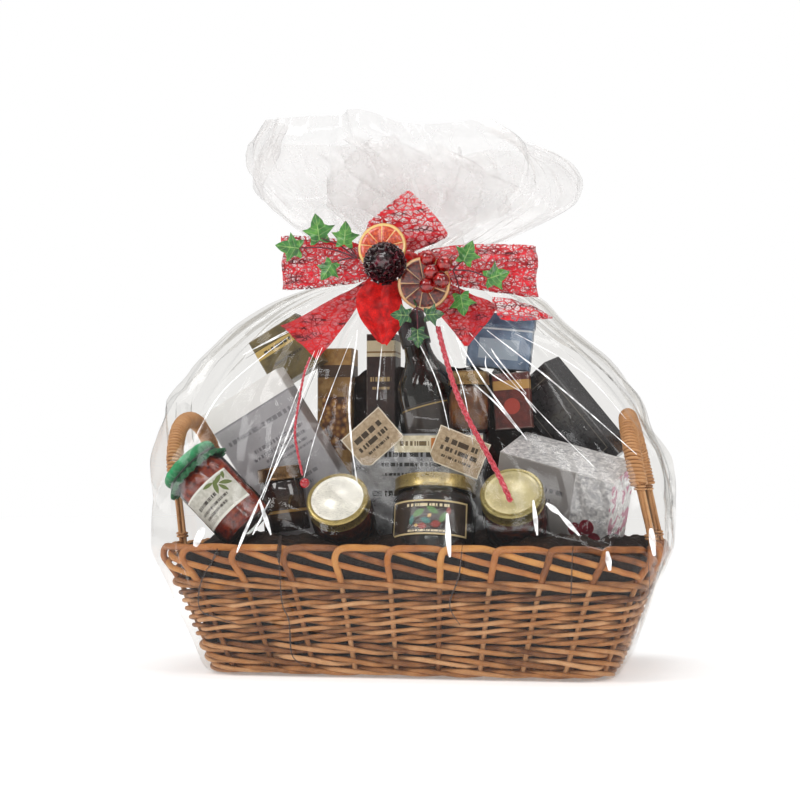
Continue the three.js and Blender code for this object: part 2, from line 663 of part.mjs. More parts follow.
function berries() {
  const places = [[0, 0, 0], [13, 2, 8], [11, -3, -10], [-4, 3, 14], [-5, 3, -14]];
  const balls = places.map(([x, y, z]) => new THREE.SphereGeometry(8.6, 7, 4).translate(x, y, z));
  setPose(addMesh('berries', join(balls), colours.berry, { roughness: 0.15 }), { at: [27, -115, 416] });
}

// An ivy leaf in the upright plane, folded along its midrib, its stalk at the origin and its tip up before the
// turn. Each station is the midrib's height, and how far out and how high the edge is, for a leaf of size 1.
const leafStations = [
  [0, 0.46, -0.14], [0.3, 0.4, 0.24], [0.6, 0.8, 0.62], [0.72, 0.28, 0.7], [1.3, 0.03, 1.26],
];

function ivyLeaf(size, turn, at) {
  const thickness = 0.9;
  const rings = leafStations.map(([middle, edgeX, edgeZ]) => {
    const back = 0.2 * size * edgeX;
    const point = (x, y, z) => new THREE.Vector3(size * x, y, size * z);
    const rear = back + thickness;
    return [
      point(-edgeX, back, edgeZ), point(0, 0, middle), point(edgeX, back, edgeZ),
      point(edgeX, rear, edgeZ), point(0, thickness, middle), point(-edgeX, rear, edgeZ),
    ];
  });
  return loft(rings).rotateY(-turn).translate(...at);
}

// Leaves on thin stems from one root
function sprig(name, root, leaves, colour) {
  const parts = leaves.flatMap(({ at, turn, size }) => {
    const radians = THREE.MathUtils.degToRad(turn);
    const reach = 0.1 * size;
    const end = vector(at[0] - reach * Math.sin(radians), at[1] + 0.4, at[2] + reach * Math.cos(radians));
    return [ivyLeaf(size, radians, at), tube([vector(...root), end], 1, 1, 4)];
  });
  addMesh(name, join(parts), colour, { roughness: 0.5 });
}

function ivy() {
  sprig('ivy_left', [-58, -86, 436], [
    { at: [-121, -84, 448], turn: 82, size: 20 }, { at: [-99, -84, 456], turn: 8, size: 22 },
    { at: [-71, -90, 450], turn: -6, size: 19 }, { at: [-84, -90, 431], turn: 150, size: 17 },
  ], colours.leaf);
  sprig('ivy_right', [46, -92, 420], [
    { at: [58, -97, 428], turn: -25, size: 18 }, { at: [82, -92, 410], turn: -75, size: 19 },
    { at: [54, -92, 394], turn: -170, size: 18 },
  ], colours.leaf);
  sprig('ivy_low', [10, -106, 380], [
    { at: [2, -107, 372], turn: 88, size: 15 }, { at: [20, -107, 372], turn: -88, size: 15 },
    { at: [11, -107, 357], turn: -176, size: 15 },
  ], colours.leafDark);
}

// Two curling ends of ribbon that hang down the film, and the bead on one of them
function streamer(name, radius, path, steps) {
  const route = path.map(([x, z]) => onFilm(x, z, radius));
  addMesh(name, tube(route, radius, steps, 8), colours.ribbon, { roughness: 0.4 });
}

function streamers() {
  streamer('streamer_left', 1.5, [
    [-102, 329], [-106, 312], [-108, 283], [-109, 252], [-105, 233], [-97, 206],
  ], 16);
  streamer('streamer_right', 3, [
    [30, 360], [42, 326], [55, 292], [70, 262], [88, 232], [104, 204], [116, 180],
  ], 11);
  const bead = addMesh('streamer_bead', new THREE.SphereGeometry(5, 8, 6), colours.berry, { roughness: 0.2 });
  setPose(bead, { at: onFilm(-94, 198, 1.6).toArray() });
}

basketWalls();
basketBorders();
handle('handle_left', -1, leftHandleLean);
handle('handle_right', 1, rightHandleLean);
cartons();
jars();
bottle();
band();
tags();
packing();
filmWrap();
filmPlume();
bow();
orangeSlice('orange_slice_left', 26, colours.slice, { at: [-30, -90, 446], forward: -10, left: 10 });
orangeSlice('orange_slice_right', 28, colours.sliceDark, { at: [16, -96, 406], forward: 8 });
pineCone();
berries();
ivy();
streamers();

export default hamper;
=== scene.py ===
import random
from math import atan, atan2, cos, floor, hypot, pi, radians, sin, sqrt, tanh

import bpy
from mathutils import Matrix, Vector, noise


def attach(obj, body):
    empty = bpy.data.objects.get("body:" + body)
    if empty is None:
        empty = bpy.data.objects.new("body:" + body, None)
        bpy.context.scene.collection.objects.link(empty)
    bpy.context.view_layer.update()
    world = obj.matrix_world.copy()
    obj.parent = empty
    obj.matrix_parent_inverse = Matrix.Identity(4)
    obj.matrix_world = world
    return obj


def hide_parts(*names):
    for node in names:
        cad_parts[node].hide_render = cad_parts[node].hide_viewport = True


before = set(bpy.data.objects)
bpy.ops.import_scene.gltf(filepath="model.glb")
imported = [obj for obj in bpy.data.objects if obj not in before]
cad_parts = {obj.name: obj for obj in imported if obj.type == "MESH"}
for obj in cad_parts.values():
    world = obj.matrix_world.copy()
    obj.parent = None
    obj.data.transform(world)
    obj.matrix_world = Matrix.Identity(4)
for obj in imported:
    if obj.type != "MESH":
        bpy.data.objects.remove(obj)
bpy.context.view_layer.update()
print("frame loaded")

mm = 0.001
middleShift = 6  # mm; the hamper's own middle lies this far from its basket's middle

# The photo is 800 pixels square. Its horizon and the hamper's upright axis cross at this pixel.
picture = {"size": 800, "horizon": 486, "axis": 425, "focal": 1750}


def place(x, y, z):  # millimetres about the basket's middle, to metres in the frame
    return Vector(((x + middleShift) * mm, y * mm, z * mm))


def mix(low, high, share):
    return low + (high - low) * share


def easeStep(value, low, high):
    share = min(max((value - low) / (high - low), 0), 1)
    return share * share * (3 - 2 * share)


def wobble(x, y, z):  # smooth noise, between -1 and 1
    return noise.noise(Vector((x, y, z)))


def circle(radius, angle):
    return radius * cos(angle), radius * sin(angle)


def poseMatrix(at, forward=0, left=0, turn=0):  # the same leans as the solids have
    lean = Matrix.Rotation(radians(-left), 4, "Y") @ Matrix.Rotation(radians(forward), 4, "X")
    return Matrix.Translation(place(*at)) @ lean @ Matrix.Rotation(radians(turn), 4, "Z")


# Working helpers


def deselectAll():
    if bpy.context.object and bpy.context.object.mode != "OBJECT":
        bpy.ops.object.mode_set(mode="OBJECT")
    bpy.ops.object.select_all(action="DESELECT")


def pickOnly(piece):
    deselectAll()
    piece.select_set(True)
    bpy.context.view_layer.objects.active = piece


def editMode(selectMode="VERT"):
    bpy.ops.object.mode_set(mode="EDIT")
    bpy.ops.mesh.select_mode(type=selectMode)


def objectMode():
    bpy.ops.object.mode_set(mode="OBJECT")


def applyModifier(piece, kind, **settings):
    pickOnly(piece)
    modifier = piece.modifiers.new(kind.title(), kind)
    for key, value in settings.items():
        setattr(modifier, key, value)
    bpy.ops.object.modifier_apply(modifier=modifier.name)


def bevelEdges(piece, width, segments, angle):
    applyModifier(piece, "BEVEL", width=width * mm, segments=segments, limit_method="ANGLE",
                  angle_limit=radians(angle))


def smoothShade(piece, angle):
    pickOnly(piece)
    bpy.ops.object.shade_smooth_by_angle(angle=radians(angle))


def joinPieces(name, pieces):
    deselectAll()
    for piece in pieces:
        piece.select_set(True)
    bpy.context.view_layer.objects.active = pieces[0]
    if len(pieces) > 1:
        bpy.ops.object.join()
    pieces[0].name = name
    return pieces[0]


def finishPiece(piece, material, slot, *nodes):
    piece.data.materials.clear()
    piece.data.materials.append(material)
    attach(piece, "root")
    if nodes:
        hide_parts(*nodes)
    return piece


def dressNode(name, material):
    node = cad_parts[name]
    if not node.material_slots:
        node.data.materials.append(material)
    node.material_slots[0].material = material


# Many round rods in one mesh. A run is its points in millimetres and the radius at each of them.
def makeRods(name, runs, closed=False, bevelSteps=2):
    deselectAll()
    bpy.ops.curve.primitive_nurbs_path_add()
    rods = bpy.context.object
    rods.name = name
    rods.data.splines.clear()
    rods.data.dimensions = "3D"
    rods.data.bevel_depth = mm
    rods.data.bevel_resolution = bevelSteps
    rods.data.use_fill_caps = not closed
    for points, radii in runs:
        spline = rods.data.splines.new("POLY")
        spline.points.add(len(points) - 1)
        spline.use_cyclic_u = closed
        for knot, point, radius in zip(spline.points, points, radii):
            knot.co = (*place(*point), 1)
            knot.radius = radius
    pickOnly(rods)
    bpy.ops.object.convert(target="MESH")
    return bpy.context.object


def smoothPath(points, steps):  # a smooth curve through the points, in equal parts between each two
    path = []
    vectors = [Vector(point) for point in points]
    last = len(vectors) - 1
    for i in range(last):
        before, start, end, after = vectors[max(i - 1,
                                                0)], vectors[i], vectors[i + 1], vectors[min(i + 2, last)]
        for k in range(steps):
            t = k / steps
            squared = (2 * before - 5 * start + 4 * end - after) * t ** 2
            cubed = (3 * start - before - 3 * end + after) * t ** 3
            path.append(0.5 * (2 * start + (end - before) * t + squared + cubed))
    path.append(vectors[last])
    return path


# A grid that a function bends to shape: point(u, v) is in millimetres, u and v run from 0 to 1
def makeSheet(name, across, along, point):
    deselectAll()
    bpy.ops.mesh.primitive_grid_add(x_subdivisions=across, y_subdivisions=along, size=1, calc_uvs=True)
    sheet = bpy.context.object
    sheet.name = name
    for vertex in sheet.data.vertices:
        vertex.co = place(*point(vertex.co.x + 0.5, vertex.co.y + 0.5))
    return sheet


# A profile of (radius, height) in millimetres, drawn by extruding a vertex and spun about z
def spinProfile(name, profile, steps, bevel=0):
    deselectAll()
    bpy.ops.mesh.primitive_plane_add(size=mm)
    shape = bpy.context.object
    shape.name = name
    editMode()
    bpy.ops.mesh.merge(type="CENTER")
    here = Vector((0, 0, 0))
    for k, (radius, height) in enumerate(profile):
        there = Vector((radius * mm, 0, height * mm))
        if k == 0:
            bpy.ops.transform.translate(value=there)
        else:
            bpy.ops.mesh.extrude_vertices_move(TRANSFORM_OT_translate={"value": there - here})
        here = there
    bpy.ops.mesh.select_all(action="SELECT")
    bpy.ops.mesh.spin(steps=steps, angle=2 * pi, center=(0, 0, 0), axis=(0, 0, 1))
    bpy.ops.mesh.select_all(action="SELECT")
    bpy.ops.mesh.remove_doubles(threshold=1e-6)
    bpy.ops.mesh.normals_make_consistent(inside=False)
    objectMode()
    if bevel:
        bevelEdges(shape, bevel, 2, 25)
    smoothShade(shape, 35)
    return shape


# A sheet with a thickness in millimetres
def solidSheet(name, across, along, point, thickness, angle, offset=0):
    sheet = makeSheet(name, across, along, point)
    applyModifier(sheet, "SOLIDIFY", thickness=thickness * mm, offset=offset)
    smoothShade(sheet, angle)
    return sheet


def closeRound(piece):  # joins the two ends of a sheet that goes all the way round
    pickOnly(piece)
    editMode()
    bpy.ops.mesh.select_all(action="SELECT")
    bpy.ops.mesh.remove_doubles(threshold=2e-5)
    bpy.ops.mesh.normals_make_consistent(inside=False)
    objectMode()


def stepsAlong(levels):  # how far along the surface each level is
    steps = [0.0]
    for low, high in zip(levels, levels[1:]):
        steps.append(steps[-1] + hypot(high[0] - low[0], (high[1] - low[1] + high[2] - low[2]) / 2))
    return steps


def evenProfile(levels, count, smoothings):  # the levels at even steps, with the corners eased
    steps = stepsAlong(levels)
    rows, k = [], 0
    for i in range(count + 1):
        target = steps[-1] * i / count
        while k < len(levels) - 2 and steps[k + 1] < target:
            k += 1
        share = (target - steps[k]) / (steps[k + 1] - steps[k])
        rows.append([mix(a, b, share) for a, b in zip(levels[k], levels[k + 1])])
    for _ in range(smoothings):
        rows = [rows[0]] + [
            [(a + 2 * b + c) / 4 for a, b, c in zip(before, row, after)]
            for before, row, after in zip(rows, rows[1:], rows[2:])
        ] + [rows[-1]]
    return rows


def setDown(piece, pose):
    piece.data.transform(poseMatrix(**pose))
    return piece


# Working helpers for materials. They work on the node tree and shader that were begun last.

socketNames = {
    "colour": "Base Color", "rough": "Roughness", "metal": "Metallic", "specular": "Specular IOR Level",
    "coat": "Coat Weight", "coatRough": "Coat Roughness", "sheen": "Sheen Weight", "alpha": "Alpha",
    "subsurface": "Subsurface Weight", "subsurfaceScale": "Subsurface Scale",
    "glow": "Emission Strength", "glowColour": "Emission Color",
}
current = {}


def newMaterial(name, **sockets):
    material = bpy.data.materials.new(name)
    material.use_nodes = True
    shader = material.node_tree.nodes["Principled BSDF"]
    for key, value in sockets.items():
        shader.inputs[socketNames[key]].default_value = value
    current.update(tree=material.node_tree, shader=shader)
    return material


def emptyMaterial(name):
    material = newMaterial(name)
    material.node_tree.nodes.clear()
    return material


def feed(socket, value):  # links an output, or sets a plain value
    if isinstance(value, bpy.types.NodeSocket):
        current["tree"].links.new(value, socket)
    else:
        socket.default_value = value


def makeNode(kind, inputs=(), **settings):
    node = current["tree"].nodes.new("ShaderNode" + kind)
    for key, value in settings.items():
        setattr(node, key, value)
    for key, value in dict(inputs).items():
        feed(node.inputs[key], value)
    return node


def addNode(kind, inputs=(), output=0, **settings):
    return makeNode(kind, inputs, **settings).outputs[output]


def linkTo(output, key):
    feed(current["shader"].inputs[socketNames[key]], output)


def calc(operation, first, second=0.0):
    return addNode("Math", {0: first, 1: second}, operation=operation)


def plus(first, second):
    return calc("ADD", first, second)


def minus(first, second):
    return calc("SUBTRACT", first, second)


def times(first, second):
    return calc("MULTIPLY", first, second)


def above(value, limit):
    return calc("GREATER_THAN", value, limit)


def below(value, limit):
    return calc("LESS_THAN", value, limit)


def between(value, low, high):
    return times(above(value, low), below(value, high))


def distance(first, second):  # from the axis, by two coordinates
    return calc("SQRT", plus(times(first, first), times(second, second)))


def chain(operation, masks):
    whole = masks[0]
    for mask in masks[1:]:
        whole = calc(operation, whole, mask)
    return whole


def both(*masks):
    return chain("MULTIPLY", masks)


def either(*masks):
    return chain("MAXIMUM", masks)


def rangeOf(value, low, high, toLow=0.0, toHigh=1.0):
    return addNode("MapRange", {"Value": value, "From Min": low, "From Max": high, "To Min": toLow,
                                "To Max": toHigh})


def objectCoords():
    return addNode("TexCoord", output="Object")


def uvCoords():
    return addNode("TexCoord", output="UV")


def split(vector):
    return makeNode("SeparateXYZ", {"Vector": vector}).outputs


def scaled(vector, scale, at=(0, 0, 0), turn=(0, 0, 0), kind="POINT"):
    return addNode("Mapping", {"Vector": vector, "Scale": scale, "Location": at, "Rotation": turn},
                   vector_type=kind)


def localCoords(pose):  # the piece's own coordinates, in millimetres
    matrix = poseMatrix(**pose)
    return scaled(objectCoords(), (mm, mm, mm), matrix.translation, matrix.to_euler("XYZ"), "TEXTURE")


def noiseAt(vector, scale, detail=4.0, roughness=0.5):
    return addNode("TexNoise", {"Vector": vector, "Scale": scale, "Detail": detail,
                                "Roughness": roughness}, "Fac")


def objectNoise(scale, detail=4.0, roughness=0.5):
    return noiseAt(objectCoords(), scale, detail, roughness)


def cellsAt(vector, scale, feature="F1"):
    return addNode("TexVoronoi", {"Vector": vector, "Scale": scale}, "Distance", feature=feature)


def asColour(code):  # a screen colour as six hex digits, to the linear one that a shader takes
    if not isinstance(code, str):
        return code
    parts = [int(code[i:i + 2], 16) / 255 for i in (0, 2, 4)]
    return (*[part / 12.92 if part <= 0.04045 else ((part + 0.055) / 1.055) ** 2.4 for part in parts], 1)


def colourRamp(factor, *stops):
    node = makeNode("ValToRGB", {"Fac": factor})
    ramp = node.color_ramp
    while len(ramp.elements) < len(stops):
        ramp.elements.new(0.5)
    for element, (position, colour) in zip(ramp.elements, stops):
        element.position = position
        element.color = asColour(colour)
    return node.outputs["Color"]


def twoTones(factor, dark, light):
    return colourRamp(factor, (0.3, dark), (0.7, light))


def mixColours(factor, first, second, blend="MIX"):
    inputs = {0: factor, 6: asColour(first), 7: asColour(second)}
    return addNode("Mix", inputs, 2, data_type="RGBA", blend_type=blend)


def painted(base, *layers):  # each layer is a mask and a colour
    for mask, colour in layers:
        base = mixColours(mask, base, colour)
    return base


def bumpFrom(height, depth, strength):  # depth in millimetres
    return addNode("Bump", {"Height": height, "Distance": depth * mm, "Strength": strength})


def addBump(height, depth, strength):
    feed(current["shader"].inputs["Normal"], bumpFrom(height, depth, strength))


def mixShaders(share, first, second):
    return addNode("MixShader", {0: share, 1: first, 2: second})


# Camera, floor and lights

camera = {"back": 1915, "height": 195, "azimuth": 10}


def addCamera():
    deselectAll()
    bpy.ops.object.camera_add()
    eye = bpy.context.object
    eye.name = "photoCamera"
    turn = radians(camera["azimuth"])
    eye.location = place(camera["back"] * sin(turn), -camera["back"] * cos(turn), camera["height"])
    half = picture["size"] / 2
    pitch = atan((picture["horizon"] - half) / picture["focal"])
    yaw = atan((picture["axis"] - half) / picture["focal"])
    eye.rotation_euler = (pi / 2 + pitch, 0, turn + yaw)
    eye.data.sensor_width = 36
    eye.data.lens = 36 * picture["focal"] / picture["size"]
    eye.data.clip_start = 0.05
    bpy.context.scene.camera = eye


studio = {
    "world": "ffffff", "backdrop": 1.0, "softLight": 0.34, "floorHalf": 9, "floorZ": -0.0004,
    "nearGlow": 0.36, "farGlow": 0.68, "glowRange": (0.4, 1.3),
}
lamps = {
    "keyLeft": {"at": (-1.5, -1.5, 1.9), "size": (1.1, 1.1), "power": 25},
    "keyRight": {"at": (1.7, -1.3, 1.5), "size": (0.8, 1.2), "power": 15},
    "topBox": {"at": (0.1, 0.2, 2.3), "size": (1.6, 1.2), "power": 19},
    "frontStrip": {"at": (0.2, -2.4, 1.7), "size": (1.8, 0.3), "power": 10},
}


def addStudio():
    scene = bpy.context.scene
    scene.view_settings.view_transform = "Standard"
    scene.world = scene.world or bpy.data.worlds.new("studioWorld")
    scene.world.use_nodes = True
    current["tree"] = scene.world.node_tree
    background = current["tree"].nodes["Background"]
    feed(background.inputs["Color"], asColour(studio["world"]))
    seen = addNode("LightPath", output="Is Camera Ray")
    feed(background.inputs["Strength"], rangeOf(seen, 0, 1, studio["softLight"], studio["backdrop"]))
    deselectAll()
    bpy.ops.mesh.primitive_plane_add(size=2 * studio["floorHalf"], location=(0, 0, studio["floorZ"]))
    ground = bpy.context.object
    ground.name = "studioFloor"
    material = newMaterial("paleFloor", rough=0.7, glowColour=(1, 1, 1, 1))
    linkTo(rangeOf(objectNoise(3.0), 0.3, 0.7, 0.9, 0.94), "colour")
    away = addNode("VectorMath", {0: objectCoords()}, "Value", operation="LENGTH")
    linkTo(rangeOf(away, *studio["glowRange"], studio["nearGlow"], studio["farGlow"]), "glow")
    ground.data.materials.append(material)
    for name, lamp in lamps.items():
        deselectAll()
        bpy.ops.object.light_add(type="AREA", location=lamp["at"])
        light = bpy.context.object
        light.name = name
        light.data.shape = "RECTANGLE"
        light.data.size, light.data.size_y = lamp["size"]
        light.data.energy = lamp["power"]
        light.rotation_euler = (Vector((0, 0, 0.25)) - light.location).to_track_quat("-Z", "Y").to_euler()


addCamera()
addStudio()
print("camera and studio ready")


# Streamers: two narrow ribbons, twisted into cords, that hang from the bow over the film

# The film's outside in the frame: height, half width, half depth, corner, and its
# middle's place across and back
filmLevels = [
    (0, 216, 139, 42, 0, 0), (9, 219.5, 142.5, 44, 0, 0), (128, 268, 178, 58, 0, 0),
    (143, 269.5, 177, 60, 0, 0),
    (180, 270, 166, 50, -1, 0), (225, 268, 153, 48, -8, 0), (262, 263, 139, 84, -18, 0),
    (290, 259, 127, 105, -22, 0),
    (332, 222.5, 105, 88, -27, 0), (371, 179, 79, 68, -30, 0), (395, 150, 52, 45, -20, 0),
    (410, 118, 36, 31, -17, 0),
    (424, 60, 24, 21, -19, 0), (430, 22, 16, 14, -20, 0), (434, 14, 14, 12, -20, 0),
]
frontGap = 4


def filmFront(x, z):  # how far back the film's front is, at a place across and a height
    for low, high in zip(filmLevels, filmLevels[1:]):
        if z <= high[0]:
            break
    share = (z - low[0]) / (high[0] - low[0])
    halfX, halfY, corner, middle = (mix(low[k], high[k], share) for k in range(1, 5))
    past = max(abs(x - middle) - (halfX - corner), 0)
    return corner - halfY - sqrt(max(corner ** 2 - past ** 2, 0))


def onFilm(x, z, lift):
    return (x, filmFront(x, z) - frontGap - lift, z)


# Each path is (across, height) in millimetres, from the bow down
streamers = {
    "left": {
        "radius": 1.5, "steps": 6, "strands": 2, "turnLength": 11, "far": "fitting",
        "path": [(-102, 329), (-106, 312), (-108, 283), (-109, 252), (-105, 233), (-97, 206)],
    },
    "right": {
        "radius": 3, "steps": 5, "strands": 3, "turnLength": 26, "far": "bare",
        "path": [(30, 360), (42, 326), (55, 292), (70, 262), (88, 232), (104, 204), (116, 180)],
    },
}
bead = {
    "at": onFilm(-94, 198, 1.6),
    "profile": [(0.8, 5), (2.8, 4.3), (4.3, 2.6), (5, 0), (4.3, -2.6), (2.8, -4.3), (0.8, -5)],
}


def twistStrands(route, radius, strands, turnLength):
    runs = []
    strandRadius = radius * (0.56 if strands == 2 else 0.5)
    for strand in range(strands):
        points, walked = [], 0
        for i, point in enumerate(route):
            ahead, behind = route[min(i + 1, len(route) - 1)], route[max(i - 1, 0)]
            along = (ahead - behind).normalized()
            side = along.cross(Vector((0, 1, 0))).normalized()
            up = side.cross(along)
            angle = 2 * pi * (walked / turnLength + strand / strands)
            points.append(point + (radius - strandRadius) * (cos(angle) * side + sin(angle) * up))
            walked += (ahead - point).length
        runs.append((points, [strandRadius] * len(points)))
    return runs


def addStreamer(name, material, exact):
    radius = exact["radius"]
    knots = [onFilm(x, z, radius) for x, z in exact["path"]]
    route, fine = smoothPath(knots, exact["steps"]), smoothPath(knots, exact["steps"] * 5)
    cord = makeRods("streamerCord_" + name, twistStrands(fine, radius, exact["strands"], exact["turnLength"]))
    smoothShade(cord, 60)
    finishPiece(cord, material, "ribbon_end", "streamer_" + name)


def streamerFinish():
    material = newMaterial("twistedRedRibbon", rough=0.42, sheen=0.3, specular=0.4)
    fleck = noiseAt(scaled(objectCoords(), (1, 1, 0.25)), 1800, 2)
    base = colourRamp(objectNoise(420, 3), (0.3, "8c0d1e"), (0.55, "c01a30"), (0.75, "d9707f"))
    linkTo(mixColours(rangeOf(fleck, 0.55, 0.75), base, "e9a3ab"), "colour")
    addBump(fleck, 0.3, 0.6)
    return material


def addStreamers():
    beadBall = setDown(spinProfile("beadBall", bead["profile"], 24), {"at": bead["at"]})
    material = newMaterial("redBead", rough=0.18, coat=0.8, coatRough=0.05, subsurface=0.15,
                           subsurfaceScale=0.004)
    linkTo(colourRamp(objectNoise(700, 2), (0.35, "7d0610"), (0.7, "c4172a")), "colour")
    finishPiece(beadBall, material, "berry", "streamer_bead")
    ribbonCord = streamerFinish()
    addStreamer("left", ribbonCord, streamers["left"])
    addStreamer("right", ribbonCord, streamers["right"])


addStreamers()
print("streamers hung")


# The basket: stakes, rows of paired rods, three-rod wales, and a border that the stakes turn down into

basket = {
    "baseHalf": (210, 133, 38), "rimHalf": (256, 168, 50), "rimZ": 121, "inset": 6.3,
    "stakes": 30, "firstStake": -8.7, "stakeRadius": 2.7, "samples": 8,
    "pairingRows": [40.4, 49.1, 57.8, 66.5, 75.2, 83.9], "pairingRadius": 2.25, "pairingReach": 4.7,
    "wales": [(17.5, 2.5), (29.5, 2.5), (95.5, 2.6)], "waleReach": 5.2, "waleRise": 3.3,
    "footWale": (6.9, 2.4), "footReach": 4.2,
    "borderRadius": 3.5, "rimLength": 1610, "floorSticks": [-96, -48, 0, 48, 96],
    # one turned-down stake: how many stakes along, how far out from the wall's middle, and how high
    "borderPath": [
        (0, 0, 96), (0, 1.5, 104), (0, 4, 112), (0, 6.3, 120), (0.03, 6.3, 127), (0.1, 4.2, 131.4),
        (0.28, 2.2, 132.8),
        (0.6, 0.8, 132.8), (0.9, -1.5, 132), (1.12, -3, 129), (1.36, -0.5, 125.4), (1.7, 2.6, 120.5),
        (2.15, 3.4, 114.5),
        (2.6, 3, 109), (2.95, 1.5, 105),
    ],
}


# A place on a rectangle with round corners, by its share of the way round from the front's middle
def planPoint(halfX, halfY, corner, share):
    flatX, flatY, bend = halfX - corner, halfY - corner, corner * pi / 2
    parts = [flatX, bend, 2 * flatY, bend, 2 * flatX, bend, 2 * flatY, bend, flatX]
    left = (share % 1) * sum(parts)
    for side, part in enumerate(parts):
        if left <= part or side == 8:
            break
        left -= part
    centres = {1: (flatX, -flatY), 3: (flatX, flatY), 5: (-flatX, flatY), 7: (-flatX, -flatY)}
    if side in centres:
        angle = (side - 2) * pi / 4 + left / corner - pi / 4
        x, y = centres[side]
        return x + corner * cos(angle), y + corner * sin(angle), angle
    return [
        (left, -halfY, -pi / 2), (halfX, left - flatY, 0), (flatX - left, halfY, pi / 2),
        (-halfX, flatY - left, pi), (left - flatX, -halfY, -pi / 2),
    ][side // 2]


def wallPoint(stakes, z, out=0.0):  # a place in the wall, counted in stakes from the front's middle
    rise = min(z / basket["rimZ"], 1)
    halfX, halfY, corner = (mix(low, high, rise) - basket["inset"] + out
                            for low, high in zip(basket["baseHalf"], basket["rimHalf"]))
    share = stakes / basket["stakes"] + basket["firstStake"] / basket["rimLength"]
    x, y, _ = planPoint(halfX, halfY, corner, share)
    return (x, y, z)


def waver(seed, s, size=0.5):  # a small unevenness along a rod that meets itself after a full round
    angle = 2 * pi * s / basket["stakes"]
    return size * wobble(6 * cos(angle), 6 * sin(angle), seed * 3.7)


def weaver(seed, z, radius, reach, rise, strand, strands, period):
    points, radii = [], []
    count = basket["stakes"] * basket["samples"]
    for i in range(count):
        s = i / basket["samples"]
        angle = 2 * pi * (s - strand * period / strands) / period
        wave = cos(angle)
        if strands == 3:
            wave = tanh(2.2 * wave) / tanh(2.2)
        out = reach * wave + waver(seed, s, 0.9)
        points.append(wallPoint(s, z + rise * sin(angle) + waver(seed + 50, s, 1.2), out))
        radii.append(radius * (1 + waver(seed + 90, s, 0.22)))
    return points, radii


def basketWeave():
    runs, seed = [], 0
    for z in basket["pairingRows"]:
        for strand in (0, 1):
            runs.append(weaver(seed, z, basket["pairingRadius"], basket["pairingReach"], 2.2, strand, 2, 2))
            seed += 1
    for z, radius in basket["wales"]:
        for strand in range(3):
            runs.append(weaver(seed, z, radius, basket["waleReach"], -basket["waleRise"], strand, 3, 3))
            seed += 1
    walls = makeRods("willowWeave", runs, closed=True)
    stakes = []
    for k in range(basket["stakes"]):
        heights = [8 + 6 * i for i in range(17)]
        stakes.append(([wallPoint(k, z, waver(k, z / 3, 0.5)) for z in heights],
                       [basket["stakeRadius"] * (1 + waver(k, z / 4, 0.1)) for z in heights]))
    posts = makeRods("willowStakes", stakes)
    return joinPieces("basketWeave", [walls, posts, makeRods("willowFloor", floorRods())])


def floorRods():  # five sticks along the basket, and rods woven over and under them
    halfX, halfY, corner = (value - 9 for value in basket["baseHalf"])
    runs = []
    for y in basket["floorSticks"]:
        past = max(abs(y) - (halfY - corner), 0)
        reach = halfX - corner + sqrt(corner ** 2 - past ** 2)
        places = (-reach, -reach / 2, 0, reach / 2, reach)
        runs.append(([(x, y + 0.6 * sin(x / 40 + y), 10) for x in places], [3.2] * 5))
    x, row = -halfX + 6, 0
    while x < halfX - 5:
        past = max(abs(x) - (halfX - corner), 0)
        reach = halfY - corner + sqrt(corner ** 2 - past ** 2) - 2
        steps = 32
        points = []
        for i in range(steps + 1):
            y = reach * (2 * i / steps - 1)
            lift = cos(pi * (y / 48 + row)) * 4.2
            points.append((x + 0.8 * wobble(x, y / 20, 4), y, 10 + lift))
        runs.append((points, [2.3 + 0.3 * wobble(x, 3, 1)] * (steps + 1)))
        x += 5.6
        row += 1
    return runs


def turnedBorder():
    runs = []
    for k in range(basket["stakes"]):
        points = [wallPoint(k + s, z + waver(k + 200, s * 3, 0.8), out + waver(k + 300, s * 3, 0.7))
                  for s, out, z in smoothPath(basket["borderPath"], 4)]
        thick = basket["borderRadius"] * (1 + 0.09 * wobble(k * 1.7, 0, 5))
        last = len(points) - 1
        radii = [thick * (1 - 0.34 * max(i / last - 0.55, 0)) for i in range(last + 1)]
        runs.append((points, radii))
    return makeRods("borderRods", runs, bevelSteps=3)


def footBorder():
    z, radius = basket["footWale"]
    runs = [weaver(400 + strand, z, radius, basket["footReach"], -2.2, strand, 3, 3) for strand in range(3)]
    return makeRods("footRods", runs, closed=True)


def willowFinish(name, light, middle, dark, gloss=0.5):
    material = newMaterial(name, rough=gloss, specular=0.35)
    own = addNode("NewGeometry", output="Random Per Island")
    spots = objectNoise(55, 4, 0.6)
    grain = objectNoise(900, 2, 0.6)
    tone = plus(times(own, 0.5), times(spots, 0.6))
    wood = colourRamp(tone, (0.25, dark), (0.55, middle), (0.85, light))
    wood = mixColours(rangeOf(grain, 0.5, 0.8, 0.0, 0.35), wood, dark)
    linkTo(wood, "colour")
    linkTo(rangeOf(grain, 0.2, 0.8, gloss - 0.1, gloss + 0.15), "rough")
    addBump(grain, 0.25, 0.5)
    return material


# Handles: three peeled rods for each leg, and an arch that is wound with cane

handles = {
    "halfSpan": 82, "footX": 249, "footZ": 138, "wrapZ": 196, "topZ": 269, "rootZ": 108,
    "arch": [(-1, 196), (-0.9, 228), (-0.55, 258), (0, 269), (0.55, 258), (0.9, 228), (1, 196)],
    "lean": {"left": 18, "right": -28}, "rodRadius": 2.3, "caneRadius": 1.9, "helix": 7.4, "pitch": 3.8,
    "bindings": [141.5, 144.5, 192, 195],
}


def handlePoint(side, y, z):
    rise = (z - handles["footZ"]) / (handles["topZ"] - handles["footZ"])
    sign = -1 if side == "left" else 1
    return Vector((sign * (handles["footX"] + handles["lean"][side] * max(rise, -0.1)), y, z))


